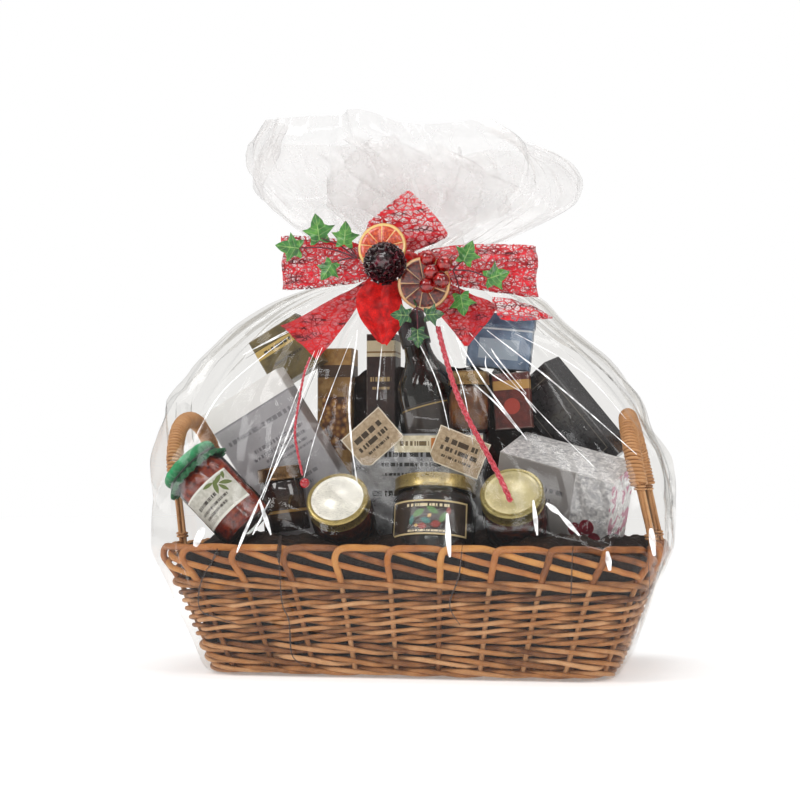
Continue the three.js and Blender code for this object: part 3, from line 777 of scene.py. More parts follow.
def woundCane(arch, phase):  # a cane that winds round the arch
    points, walked = [], 0
    for i in range(len(arch) - 1):
        along = arch[i + 1] - arch[i]
        across = along.cross(Vector((1, 0, 0))).normalized()
        up = across.cross(along).normalized()
        for k in range(6):
            angle = pi * (walked + along.length * k / 6) / handles["pitch"] + phase
            reach = handles["helix"] + 0.2 * sin(i * 1.7)
            points.append(arch[i] + along * (k / 6) + reach * (cos(angle) * across + sin(angle) * up))
        walked += along.length
    return points


def handleLeg(side, y, strand):
    top = handles["wrapZ"] + 12
    points, radii = [], []
    for i in range(13):
        z = mix(handles["rootZ"], top, i / 12)
        angle = 2 * pi * strand / 3 + 0.4 + z / 90
        spread = 2.5 + 0.5 * wobble(z / 30, y, strand)
        points.append(handlePoint(side, y, z) + Vector((*circle(spread, angle), 0)))
        radii.append(handles["rodRadius"] + 0.25 * sin(strand + z / 40))
    return points, radii


def addHandle(side, material):
    span = handles["halfSpan"]
    arch = smoothPath([handlePoint(side, share * span, z) for share, z in handles["arch"]], 24)
    runs = [(arch, [5.6] * len(arch))]
    for phase in (0, pi):
        cane = woundCane(arch, phase)
        runs.append((cane, [handles["caneRadius"]] * len(cane)))
    for y in (-span, span):
        runs += [handleLeg(side, y, strand) for strand in range(3)]
        for z in handles["bindings"]:
            middle = handlePoint(side, y, z)
            turns = [2 * pi * i / 16 for i in range(17)]
            ring = [middle + Vector((5.3 * cos(a), 5.3 * sin(a), 0.5 * sin(a))) for a in turns]
            runs.append((ring, [1.2] * 17))
    return finishPiece(makeRods("handleRods_" + side, runs), material, "willow_light", "handle_" + side)


def addBasket():
    walls = willowFinish("buffWillow", "daa878", "b67c48", "623616")
    rim = willowFinish("paleWillow", "d89a52", "b4713a", "66391a", 0.42)
    peeled = willowFinish("peeledWillow", "dfae7c", "c58f5c", "7e5030", 0.4)
    finishPiece(basketWeave(), walls, "willow", "basket_walls")
    finishPiece(footBorder(), walls, "willow", "foot_border")
    finishPiece(turnedBorder(), rim, "willow", "rim_border")
    for side in ("left", "right"):
        addHandle(side, peeled)


addBasket()
print("basket woven")


# The packing: crumpled dark tissue that fills the basket up to its rim, and a dark sheet of it standing up
# behind the packs, partly painted shade for the contents that lie in shade there

packing = {
    "around": 200, "along": 110,
    "levels": [
        (17.7, 4, 4, 3, 0, 0), (17.7, 200, 123, 30, 0, 0), (60, 219, 136, 36, 0, 0),
        (116, 241, 153, 40, 0, 0),
        (132, 238, 150, 40, 0, 0), (139, 205, 122, 40, 0, 0), (143, 4, 4, 3, 0, 0),
    ],
    "standing": [  # dark paper that stands up behind the packs, painted shade for the unseen contents in shade there
        (126, 4, 4, 3, 5, 76), (126, 150, 24, 20, 5, 76), (170, 150, 24, 20, 8, 76),
        (230, 146, 20, 17, 10, 74),
        (285, 128, 15, 12, 6, 70), (318, 108, 11, 9, -2, 66), (332, 92, 5, 4, -4, 63), (334, 4, 3, 2, -4, 62),
    ],
}


def packingSurface():
    rows = evenProfile(packing["levels"], packing["along"], 2)

    def point(u, v):
        k = round(v * packing["along"])
        z, halfX, halfY, corner, _, _ = rows[k]
        x, y, angle = planPoint(halfX, halfY, corner, u)
        top = easeStep(z, 112, 134) if v > 0.5 else 0
        waves = 6 * sin(x / 23 + 1) * cos(y / 19) + 3 * sin(x / 11 + y / 13)
        crease = noise.hetero_terrain(Vector((x / 24, y / 24, z / 24)), 0.6, 2.1, 4, 0.4)
        fold = abs(wobble(x / 16, y / 16, z / 16 + 7)) * 9 - 2
        z += top * (waves + fold)
        pull = (1 - top) * easeStep(z, 20, 40) * (1.2 * crease - 1.6)
        return (x + pull * cos(angle), y + pull * sin(angle), z)

    return point


def shadeStandInSurface():
    rows = evenProfile(packing["standing"], packing["along"], 2)

    def point(u, v):
        z, halfX, halfY, corner, middleX, middleY = rows[round(v * packing["along"])]
        x, y, angle = planPoint(halfX, halfY, corner, u)
        crease = noise.hetero_terrain(Vector((x / 30, y / 30, z / 34)), 0.6, 2.1, 4, 0.4)
        fold = abs(wobble(x / 13, y / 13, z / 30 + 5)) * 8
        pull = easeStep(z, 126, 150) * (2.5 * crease + fold - 6)
        peak = easeStep(z, 250, 334) * (16 * wobble(x / 26, y / 40, 2) - 6)
        return (middleX + x + pull * cos(angle), middleY + y + pull * sin(angle), z + peak)

    return point


def addPacking():
    low = makeSheet("lowTissue", packing["around"], packing["along"], packingSurface())
    # a dark sheet standing up behind the packs: painted shade for the contents that lie in shade there
    high = makeSheet("shadeStandInTissue", packing["around"], packing["along"], shadeStandInSurface())
    closeRound(low)
    closeRound(high)
    wad = joinPieces("crumpledTissue", [low, high])
    smoothShade(wad, 22)
    material = newMaterial("darkTissue", rough=0.6, specular=0.15)
    fine = objectNoise(420, 3, 0.6)
    tissue = colourRamp(objectNoise(60, 5, 0.65), (0.32, "0c0503"), (0.55, "22130a"), (0.78, "4a3020"))
    linkTo(mixColours(rangeOf(fine, 0.6, 0.8, 0, 0.5), tissue, "64544a"), "colour")
    addBump(cellsAt(objectCoords(), 130), 1.4, 0.6)
    finishPiece(wad, material, "tissue", "packing_tissue")


# Cartons and packs keep their solids. Their print, with some painted highlight and shade, is drawn in
# millimetres about each one's own middle.

packs = {
    "carton_left": {"size": (97, 50, 175), "pose": {"at": (-157, -4, 226), "left": 31, "forward": 8}},
    "carton_right": {"size": (128, 72, 96), "pose": {"at": (152, -20, 182), "left": -11, "forward": 22,
                                                     "turn": -12}},
    "box_black": {"size": (56, 44, 128), "pose": {"at": (156, 40, 268), "left": 39, "turn": -20}},
    "pack_silver": {"size": (140, 24, 118), "pose": {"at": (0, -30, 192)}},
    "pack_dark": {"size": (33, 34, 175), "pose": {"at": (-56, 50, 278)}},
    "pack_golden": {"size": (40, 34, 150), "pose": {"at": (-112, 62, 276)}},
    "carton_olive": {"size": (64, 26, 62), "pose": {"at": (-162, 30, 346), "left": 31}},
    "tin_blue": {"size": (72, 24, 60), "pose": {"at": (82, 14, 353), "left": -6}},
    "pack_red": {"size": (40, 20, 60), "pose": {"at": (97, -2, 287), "left": 4}},
}


def barRow(across, up, row):  # a row of uneven bars: low, high, left, right, how many for each millimetre, seed
    low, high, left, right, rate, seed = row
    inputs = {"W": plus(times(across, rate), seed), "Scale": 1.0, "Detail": 0.0}
    wave = addNode("TexNoise", inputs, "Fac", noise_dimensions="1D")
    return both(between(up, low, high), between(across, left, right), above(wave, 0.44))


def barRows(across, up, rows):
    return either(*[barRow(across, up, row) for row in rows])


def disc(across, up, middleX, middleZ, radius):
    return rangeOf(distance(minus(across, middleX), minus(up, middleZ)), radius, radius - 0.5)


def edgeHighlight(parts, size):  # 1 at the edges of a carton, 0 away from them
    x, y, z = (minus(side / 2, calc("ABSOLUTE", part)) for part, side in zip(parts, size))
    low, high = calc("MINIMUM", x, y), calc("MAXIMUM", x, y)
    return rangeOf(calc("MAXIMUM", low, calc("MINIMUM", high, z)), 1.5, 0.2)


def packFinish(name, paint, rough, coat, edgeLight="c9c4bc"):
    pack = packs[name]
    material = newMaterial(name + "Print", rough=rough, coat=coat, coatRough=0.2)
    local = localCoords(pack["pose"])
    parts = split(local)
    colour = paint(local, *parts)
    roughPatches = noiseAt(local, 0.22, 4, 0.6)
    # painted highlight: the edges are mixed, in patches, towards the lighter edge colour, as where they catch
    # the light
    litEdges = both(edgeHighlight(parts, pack["size"]), rangeOf(roughPatches, 0.4, 0.65, 0.1, 0.5))
    linkTo(mixColours(litEdges, colour, edgeLight), "colour")
    linkTo(rangeOf(roughPatches, 0.3, 0.7, rough - 0.08, rough + 0.12), "rough")
    addBump(noiseAt(local, 0.6, 3), 0.25, 0.5)
    dressNode(name, material)


def paintCartonLeft(local, across, back, up):
    cloud = noiseAt(local, 0.03, 3)
    front = below(back, -24)
    bars = barRows(across, up, [
        (41, 46, -40, 40, 0.32, 3), (20, 24, -20, 42, 0.5, 11), (12, 16, -26, 42, 0.5, 23),
        (5, 8, -14, 38, 0.8, 31),
        (-1, 1.6, -20, 42, 0.9, 41), (-30, -26, -34, 30, 0.4, 51), (-38, -35, -34, 20, 0.7, 61),
    ])
    # painted light: near white above 63 mm for the carton's lit top, and grey elsewhere for the same carton in
    # shade, with its print over both
    return painted(
        twoTones(cloud, "9a989c", "b0aeb2"), (above(up, 63), "f2f1f0"),
        (both(front, bars, rangeOf(cloud, 0.2, 0.8, 0.5, 0.9)), "55535a"),
        (both(front, between(up, 61, 63)), "8d8b90"))


def paintCartonRight(local, across, back, up):
    mottle = noiseAt(local, 0.19, 5, 0.75)
    front = below(back, -35)
    bars = barRows(across, up, [(18, 23, -52, 12, 0.3, 5), (8, 11, -52, 0, 0.6, 15),
                                (1, 4, -52, -8, 0.6, 25)])
    fruit = either(*[disc(across, up, *spot) for spot in (
        (30, -14, 8), (42, -8, 8.5), (40, -24, 8), (52, -19, 7.5), (29, -29, 7))])
    glow = colourRamp(mottle, (0.35, "5c0c18"), (0.6, "961c34"), (0.76, "cc6878"))
    patch = both(above(across, 63), above(noiseAt(local, 0.06, 2), 0.54))
    return painted(
        colourRamp(mottle, (0.34, "96969c"), (0.5, "cccbcb"), (0.64, "f6f5f4")),
        (both(front, below(across, 22)), "9c9896"), (both(front, bars), "5c5a5c"), (both(front, fruit), glow),
        (patch, "a8446e"))


def paintBoxBlack(local, across, back, up):
    lines = either(*[both(between(up, low, high), between(across, left, right)) for low, high,
                     left, right in (
        (50, 51, -22, 22), (-51, -50, -22, 22), (-51, 51, -22, -21), (-51, 51, 21, 22))])
    return painted(twoTones(noiseAt(local, 0.05, 4), "1d1c1e", "343235"),
                   (both(lines, below(back, -21)), "6b655c"))


def paintPackDark(local, across, back, up):
    bars = barRows(across, up, [(34, 39, -12, 12, 0.5, 7), (25, 28, -10, 10, 0.9, 17),
                                (-20, -15, -12, 12, 0.5, 27)])
    return painted(twoTones(noiseAt(local, 0.08, 4), "21100c", "3f2219"), (between(up, 62, 80), "d8cba9"),
                   (between(up, 66, 68), "8a6a3c"), (both(bars, below(back, -16)), "b59a66"))


def paintPackGolden(local, across, back, up):
    card = colourRamp(noiseAt(local, 0.06, 5, 0.6), (0.3, "6d4a22"), (0.5, "9b7338"), (0.72, "c79e5a"))
    window = both(between(up, -40, 20), between(across, -14, 14), below(back, -16))
    inside = colourRamp(cellsAt(local, 0.16), (0.1, "d8a456"), (0.5, "8a5526"), (0.8, "4c2a12"))
    return painted(card, (window, inside), (between(up, 42, 56), "4a3018"))


def paintCartonOlive(local, across, back, up):
    bars = barRows(across, up, [(9, 13, -22, 22, 0.4, 9), (-8, -5, -18, 18, 0.7, 19)])
    return painted(twoTones(noiseAt(local, 0.07, 4), "4a3f22", "7a6a3c"), (between(up, 6, 17), "bfa25a"),
                   (both(bars, below(back, -12)), "2e2614"))


def paintPackRed(local, across, back, up):
    return painted(twoTones(noiseAt(local, 0.1, 4), "3a120e", "74291f"), (between(up, 12, 22), "b98d4a"),
                   (disc(across, up, 0, -6, 9), "a8392a"))


def addCartons():
    # the last colour given is each carton's painted edge highlight
    packFinish("carton_left", paintCartonLeft, 0.32, 0.3, "f2f0ec")
    packFinish("carton_right", paintCartonRight, 0.34, 0.3, "efece8")
    packFinish("box_black", paintBoxBlack, 0.28, 0.4, "8a8688")
    packFinish("pack_dark", paintPackDark, 0.34, 0.3)
    packFinish("pack_golden", paintPackGolden, 0.4, 0.2)
    packFinish("carton_olive", paintCartonOlive, 0.42, 0.2)
    packFinish("pack_red", paintPackRed, 0.38, 0.2)


def addSilverPack():
    material = newMaterial("creasedFoil", metal=0.85, rough=0.3)
    local = localCoords(packs["pack_silver"]["pose"])
    across, back, up = split(local)
    creases = cellsAt(scaled(local, (0.05, 0.05, 0.035)), 1.0, "DISTANCE_TO_EDGE")
    soft = noiseAt(local, 0.06, 5, 0.6)
    foil = colourRamp(soft, (0.3, "7b7c80"), (0.6, "a9aaad"), (0.8, "cfcfd1"))
    bars = barRows(across, up, [
        (34, 40, -44, 34, 0.22, 2), (24, 28, -40, 30, 0.4, 12), (14, 17, -40, 36, 0.5, 22),
        (-8, -2, -50, 50, 0.25, 32),
    ])
    printed = both(bars, below(back, -11.5))
    linkTo(mixColours(printed, foil, "232224"), "colour")
    linkTo(rangeOf(printed, 0, 1, 0.85, 0.1), "metal")
    linkTo(rangeOf(soft, 0.3, 0.7, 0.22, 0.42), "rough")
    addBump(plus(times(creases, 0.5), soft), 2.2, 0.8)
    dressNode("pack_silver", material)


tin = {"lidHeight": 14, "seam": 0.6, "corner": 5, "bevel": 1.6}


def addTin():
    width, depth, height = packs["tin_blue"]["size"]
    deselectAll()
    bpy.ops.mesh.primitive_cube_add(size=1)
    body = bpy.context.object
    body.name = "roundedTin"
    body.data.transform(Matrix.Diagonal((width * mm, depth * mm, height * mm, 1)))
    editMode("EDGE")
    bpy.ops.mesh.select_all(action="DESELECT")
    objectMode()
    for edge in body.data.edges:
        a, b = (body.data.vertices[k].co for k in edge.vertices)
        edge.select = abs(a.z - b.z) > 0.01
    editMode("EDGE")
    bpy.ops.mesh.bevel(offset=tin["corner"] * mm, segments=5, affect="EDGES")
    objectMode()
    lidZ = (height / 2 - tin["lidHeight"]) * mm
    for z in (lidZ - tin["seam"] * mm, lidZ):
        editMode("FACE")
        bpy.ops.mesh.select_all(action="SELECT")
        bpy.ops.mesh.bisect(plane_co=(0, 0, z), plane_no=(0, 0, 1))
        objectMode()
    for vertex in body.data.vertices:
        if vertex.co.z < lidZ - 0.5 * tin["seam"] * mm:
            vertex.co.x *= 0.975
            vertex.co.y *= 0.93
    bevelEdges(body, tin["bevel"], 3, 40)
    smoothShade(body, 35)
    setDown(body, packs["tin_blue"]["pose"])
    material = newMaterial("printedTin", metal=0.35, rough=0.3, coat=0.5, coatRough=0.1)
    local = localCoords(packs["tin_blue"]["pose"])
    across, back, up = split(local)
    tone = noiseAt(local, 0.06, 4)
    panel = both(between(across, -22, 22), between(up, -20, 2), below(back, -8))
    linkTo(painted(twoTones(tone, "485d78", "7389a3"), (between(up, 12, 14), "c5ccd2"),
                   (panel, "9aa8b6")), "colour")
    addBump(tone, 0.3, 0.4)
    finishPiece(body, material, "tin", "tin_blue")


addPacking()
addCartons()
addSilverPack()
addTin()
print("packing and packs in place")


# Jars: clear glass, what is in them, their lids and labels. Sizes in millimetres, upright, before the pose.

# A filling has its dark, middle and light tone and how fine its pieces are, and a lid its rim and face tone;
# the gold lids' paler faces are a painted highlight, near white on the front left one
jars = {
    "frontLeft": {
        "node": "jar_front_left", "radius": 33, "height": 72, "neck": 28.5, "lid": 32.5,
        "pose": {"at": (-68, -71, 139), "forward": 55}, "slot": "chutney",
        "filling": ("2a0c05", "5e2009", "9c4a16", 0.16), "lidPaintedLightTones": ("b39f62", "fbf8ec"),
    },
    "frontRight": {
        "node": "jar_front_right", "radius": 33, "height": 72, "neck": 28.5, "lid": 32.5,
        "pose": {"at": (112, -74, 141), "forward": 51}, "slot": "chutney",
        "filling": ("2a0904", "5c1709", "963a16", 0.15), "lidPaintedLightTones": ("a3955c", "cbbe8c"),
    },
    "centre": {
        "node": "jar_centre", "radius": 43, "height": 86, "neck": 38, "lid": 42.5,
        "pose": {"at": (27, -111, 113), "forward": -14}, "slot": "relish",
        "filling": ("120806", "2e140d", "5a2818", 0.12), "lidPaintedLightTones": ("b09a5e", "d8cc9c"),
    },
    "amber": {
        "node": "jar_amber", "radius": 23, "height": 62, "neck": 19.5, "lid": 22.5,
        "pose": {"at": (52, -24, 252)}, "slot": "honey",
        "filling": ("4c2408", "844810", "b87428", 0.06), "lidPaintedLightTones": ("94784a", "b09a66"),
    },
    "green": {
        "node": "jar_green", "radius": 31, "height": 96, "neck": 27,
        "pose": {"at": (-166, -112, 151), "left": 45}, "slot": "jam",
        "filling": ("6a1406", "b8360c", "e8702a", 0.17),
    },
}
darkJar = {
    # the lid's lighter brown rim round its darker face is a painted highlight
    "radius": 25, "height": 66, "neck": 21.5, "lid": 25, "lidPaintedLightTones": ("6e4f2a", "3a2818"),
    "pose": {"at": (-140, -54, 146), "left": 8},
}
glassWall = 2.4


def posed(pose):  # from a piece's own millimetres to the basket's
    lean = poseMatrix(**pose).to_3x3()
    at = Vector(pose["at"])
    return lambda x, y, z: at + lean @ Vector((x, y, z))


def glassFinish():
    material = emptyMaterial("clearGlass")
    bump = bumpFrom(objectNoise(45, 3), 0.5, 0.35)
    clear = addNode("BsdfTransparent", {"Color": (0.94, 0.965, 0.95, 1)})
    gloss = addNode("BsdfGlossy", {"Roughness": 0.02, "Normal": bump})
    fresnel = addNode("Fresnel", {"IOR": 1.5, "Normal": bump})
    makeNode("OutputMaterial", {"Surface": mixShaders(fresnel, clear, gloss)}).is_active_output = True
    return material


def glassProfile(jar):
    radius, neck, height, wall = jar["radius"], jar["neck"], jar["height"], glassWall
    shoulder = height - 13
    return [
        (0, 1.6), (radius * 0.7, 1.4), (radius - 4, 0), (radius - 1.6, 0.3), (radius, 2.6),
        (radius, shoulder - 9.5),
        (radius - 0.8, shoulder - 6.5), (neck + 1.2, shoulder - 1.2), (neck, shoulder + 1),
        (neck, shoulder + 2.6),
        (neck + 0.25, shoulder + 3.2), (neck, shoulder + 3.8), (neck, height - 0.5), (neck - 0.6, height),
        (neck - wall + 0.5, height), (neck - wall, height - 0.6), (neck - wall, shoulder - 0.6),
        (radius - wall - 0.8, shoulder - 8), (radius - wall, shoulder - 10.5), (radius - wall, wall + 3),
        (radius - wall - 1.8, wall + 1.2), (0, wall + 1.6),
    ]


def fillingProfile(jar):  # reaches just into the glass, so no air shows between them
    inner, neckInner = jar["radius"] - glassWall + 0.3, jar["neck"] - glassWall + 0.3
    shoulder = jar["height"] - 13
    return [
        (0, glassWall + 1.4), (inner - 2, glassWall + 1), (inner, glassWall + 2.8), (inner, shoulder - 10.4),
        (inner - 0.8, shoulder - 7.9), (neckInner, shoulder - 0.5), (neckInner, shoulder + 0.6),
        (neckInner * 0.8, shoulder + 1.4), (0, shoulder + 1.6),
    ]


def lidProfile(radius, neck, height):
    top, inner = height + 4, neck + 0.35
    return [
        (0, top - 0.5), (radius * 0.26, top - 0.5), (radius * 0.3, top - 1.1), (radius * 0.76, top - 1.1),
        (radius * 0.8, top - 0.2), (radius * 0.87, top), (radius * 0.95, top - 0.2), (radius, top - 1.8),
        (radius - 0.5, top - 4), (radius - 0.5, height - 8), (radius + 0.1, height - 9.2),
        (radius + 0.1, height - 10.4),
        (radius - 0.7, height - 11), (inner, height - 10.8), (inner, height + 0.35), (0, height + 0.35),
    ]


def lidFinish(name, jar):
    material = newMaterial(name, metal=0.82, rough=0.26, coat=0.4, coatRough=0.12)
    local = localCoords(jar["pose"])
    x, y, z = split(local)
    onTop = both(above(z, jar["height"] + 2.6), below(distance(x, y), 0.84 * jar["lid"]))
    scratches = noiseAt(scaled(local, (0.35, 2.2, 0.35)), 1.0, 5, 0.7)
    tone = rangeOf(noiseAt(local, 0.08, 3), 0.3, 0.7, 0.82, 1.1)
    # the face on top takes the second tone: a painted highlight on the gold lids, and on the dark jar's lid a
    # darker face inside a rim painted lighter as its highlight
    linkTo(mixColours(1.0, mixColours(onTop, *jar["lidPaintedLightTones"]), tone, "MULTIPLY"), "colour")
    linkTo(rangeOf(onTop, 0, 1, 0.82, 0.3), "metal")
    linkTo(rangeOf(scratches, 0.3, 0.7, 0.2, 0.4), "rough")
    addBump(scratches, 0.08, 0.6)
    return material


def fillingFinish(name, jar):
    dark, middle, light, pieces = jar["filling"]
    material = newMaterial(name, rough=0.3, coat=1.0, coatRough=0.06, subsurface=0.2, subsurfaceScale=0.004)
    local = localCoords(jar["pose"])
    lumps = cellsAt(scaled(local, (1, 1, 1.2)), pieces, "SMOOTH_F1")
    depth = plus(times(lumps, 0.55), times(noiseAt(local, 0.12, 5, 0.65), 0.5))
    linkTo(colourRamp(depth, (0.3, dark), (0.52, middle), (0.74, light)), "colour")
    addBump(depth, 2.0, 0.6)
    return material


def addGlassJar(name, jar, glass):
    shell = setDown(spinProfile(name + "Glass", glassProfile(jar), 64), jar["pose"])
    finishPiece(shell, glass, "jar_glass", jar["node"] + "_glass")
    inside = setDown(spinProfile(name + "Contents", fillingProfile(jar), 48), jar["pose"])
    finishPiece(inside, fillingFinish(name + "Filling", jar), jar["slot"], jar["node"] + "_filling")


def addLid(name, jar, steps, metal, slot, node):
    lid = setDown(spinProfile(name, lidProfile(jar["lid"], jar["neck"], jar["height"]), steps,
                              0.35), jar["pose"])
    finishPiece(lid, lidFinish(name + metal, jar), slot, node)


# Labels: paper round part of a jar, drawn in UV with plain fields and leaf shapes


def wrapLabel(name, jar, low, high, material, node):
    toBasket = posed(jar["pose"])

    def point(u, v):
        angle = radians(mix(-60, 60, u))
        radius = jar["radius"] + 0.55
        return toBasket(radius * sin(angle), -radius * cos(angle), mix(low, high, v))

    finishPiece(solidSheet(name, 48, 12, point, 0.25, 40, -1), material, "label", node)


def leafShape(u, v, middleU, middleV, length, width, turn):  # a pointed leaf in UV, 1 inside it
    turned = radians(turn)
    du, dv = minus(u, middleU), minus(v, middleV)
    along = plus(times(du, cos(turned)), times(dv, sin(turned)))
    across = minus(times(dv, cos(turned)), times(du, sin(turned)))
    share = calc("DIVIDE", along, length)
    room = times(minus(1.0, times(share, share)), width)
    return below(calc("ABSOLUTE", across), room)


def leafShapes(across, v, leaves):
    return either(*[leafShape(across, v, *leaf) for leaf in leaves])


def greenJarLabel():
    material = newMaterial("greenJarPaper", rough=0.55)
    u, v, _ = split(uvCoords())
    across = times(u, 1.6)
    tone = objectNoise(300, 4)
    leaves = leafShapes(across, v, [
        (1.2, 0.84, 0.2, 0.06, 20), (1.05, 0.72, 0.2, 0.06, 70), (1.34, 0.66, 0.19, 0.06, -30),
        (1.2, 0.58, 0.16, 0.05, 110), (0.92, 0.88, 0.16, 0.05, -10), (1.42, 0.88, 0.14, 0.05, 60),
    ])
    bars = barRows(times(across, 60), times(v, 40), [
        (22, 26, 14, 56, 0.5, 3), (15, 18, 12, 70, 0.7, 13), (9, 12, 14, 62, 0.7, 23)])
    edge = either(below(v, 0.07), above(v, 0.95))
    paper = painted(twoTones(tone, "aeaca0", "d0cec6"), (leaves, "5f6e34"), (bars, "3b3430"),
                    (edge, "e6e4dc"))
    linkTo(paper, "colour")
    addBump(tone, 0.15, 0.5)
    return material


def centreJarLabel():
    material = newMaterial("centreJarPaper", rough=0.4, coat=0.3)
    u, v, _ = split(uvCoords())
    across = times(u, 2.5)
    tone = objectNoise(260, 5)
    shapes = [(leafShapes(across, v, leaves), colour) for colour, leaves in (
        ("4e7c3a", ((1.0, 0.62, 0.2, 0.09, 30), (1.4, 0.7, 0.2, 0.08, 150), (1.7, 0.5, 0.18, 0.08, 60))),
        ("2f6f68", ((1.22, 0.4, 0.16, 0.08, -20), (0.8, 0.42, 0.15, 0.07, 80))),
        ("8e2f24", ((1.5, 0.3, 0.15, 0.1, 10), (1.12, 0.24, 0.14, 0.09, 170), (1.86, 0.7, 0.12, 0.07, 90))),
        ("c9a25a", ((1.32, 0.54, 0.07, 0.05, 45), (0.94, 0.26, 0.06, 0.05, 0))),
    )]
    bars = barRows(times(across, 36), times(v, 36), [(29, 32, 22, 68, 0.4, 4), (3, 5, 24, 66, 0.6, 14)])
    edge = either(below(v, 0.05), above(v, 0.95), below(u, 0.025), above(u, 0.975))
    ground = painted(twoTones(tone, "1c1411", "3a2a22"), *shapes, (bars, "d9cba6"), (edge, "cdb98a"))
    linkTo(ground, "colour")
    addBump(tone, 0.12, 0.5)
    return material


# The cloth cap on the green jar, gathered under the lid's edge by an elastic
clothCap = {
    "pleats": 24, "flat": 0.104,
    # radius, height from the jar's top, and how deep the pleats are
    "profile": [(0.4, 4.6, 0), (14, 4.8, 0), (26, 4.4, 0.1), (30.5, 2.6, 0.3), (32.6, -1, 0.5),
                (32.2, -4.5, 0.8),
                (30.8, -7, 1.0), (30.2, -8.4, 1.1), (31.2, -10, 1.6), (33.6, -12.4, 2.2), (35.4, -15, 2.8),
                (36.2, -17, 3.1)],
    "elastic": (31.3, -8.2, 1.0),
}


def addClothCap():
    jar = jars["green"]
    toBasket = posed(jar["pose"])
    profile = smoothPath(clothCap["profile"], 4)
    last = len(profile) - 1

    def point(u, v):
        radius, rise, depth = profile[round(v * last)]
        angle = 2 * pi * u
        around = Vector((cos(angle), sin(angle), rise / 12))
        wave = sin(clothCap["pleats"] * angle + 1.6 * noise.noise(around * 2)) + 0.5 * noise.noise(around * 5)
        radius += depth * wave
        rise += 0.35 * wobble(radius * cos(angle) / 6, radius * sin(angle) / 6, 3)
        return toBasket(*circle(radius, angle), jar["height"] + rise)

    cap = makeSheet("greenClothCap", 240, last, point)
    closeRound(cap)
    smoothShade(cap, 60)
    radius, rise, thickness = clothCap["elastic"]
    band = [toBasket(*circle(radius, 2 * pi * k / 72), jar["height"] + rise) for k in range(72)]
    elastic = makeRods("capElastic", [(band, [thickness, thickness * 1.15] * 36)], closed=True)
    smoothShade(elastic, 60)
    material = newMaterial("greenCloth", rough=0.55, sheen=0.08, coat=0.25)
    local = localCoords(jar["pose"])
    x, y, z = split(local)
    weave = times(*[calc("SINE", times(part, 7.0)) for part in (x, y)])
    cloud = noiseAt(local, 0.1, 4)
    # painted light: a lighter green on the cap's top, where light falls, and a darker one below it, in shade
    low, top = twoTones(cloud, "034023", "0a703c"), twoTones(cloud, "008a4a", "12b872")
    linkTo(mixColours(rangeOf(z, jar["height"] - 8, jar["height"] + 2), low, top), "colour")
    addBump(plus(weave, times(cloud, 2.0)), 0.3, 0.6)
    finishPiece(cap, material, "cloth", "cap_green_cloth")
    rubber = newMaterial("darkElastic", rough=0.6, sheen=0.3)
    linkTo(twoTones(objectNoise(900, 2), "07140d", "14301f"), "colour")
    finishPiece(elastic, rubber, "cloth")


def addDarkJar():
    radius, height, neck, pose = darkJar["radius"], darkJar["height"], darkJar["neck"], darkJar["pose"]
    shoulder = height - 13
    body = spinProfile("darkJarBody", [
        (0, 1), (radius - 3.5, 0), (radius - 1, 0.4), (radius, 2.4), (radius, shoulder - 9.5),
        (radius - 0.8, shoulder - 6.5),
        (neck + 1, shoulder - 1), (neck, shoulder + 1.2), (neck, height - 0.4),
        (neck - 1, height), (0, height),
    ], 56)
    finish = newMaterial("darkSauceGlass", rough=0.08, coat=1.0, coatRough=0.03)
    local = localCoords(pose)
    z = split(local)["Z"]
    brown = twoTones(noiseAt(local, 0.1, 4), "0f0705", "2b140c")
    paper = mixColours(between(z, 20, 23), "3d2a1a", "a07c42")
    linkTo(mixColours(between(z, 12, 38), brown, paper), "colour")
    finishPiece(setDown(body, pose), finish, "dark_jar", "jar_dark")
    addLid("darkJarLid", darkJar, 64, "Brown", "lid_dark", "jar_dark_lid")


bottle = {"radius": 34, "neck": 14.5, "height": 292, "pose": {"at": (52, 18, 92), "left": 14}}


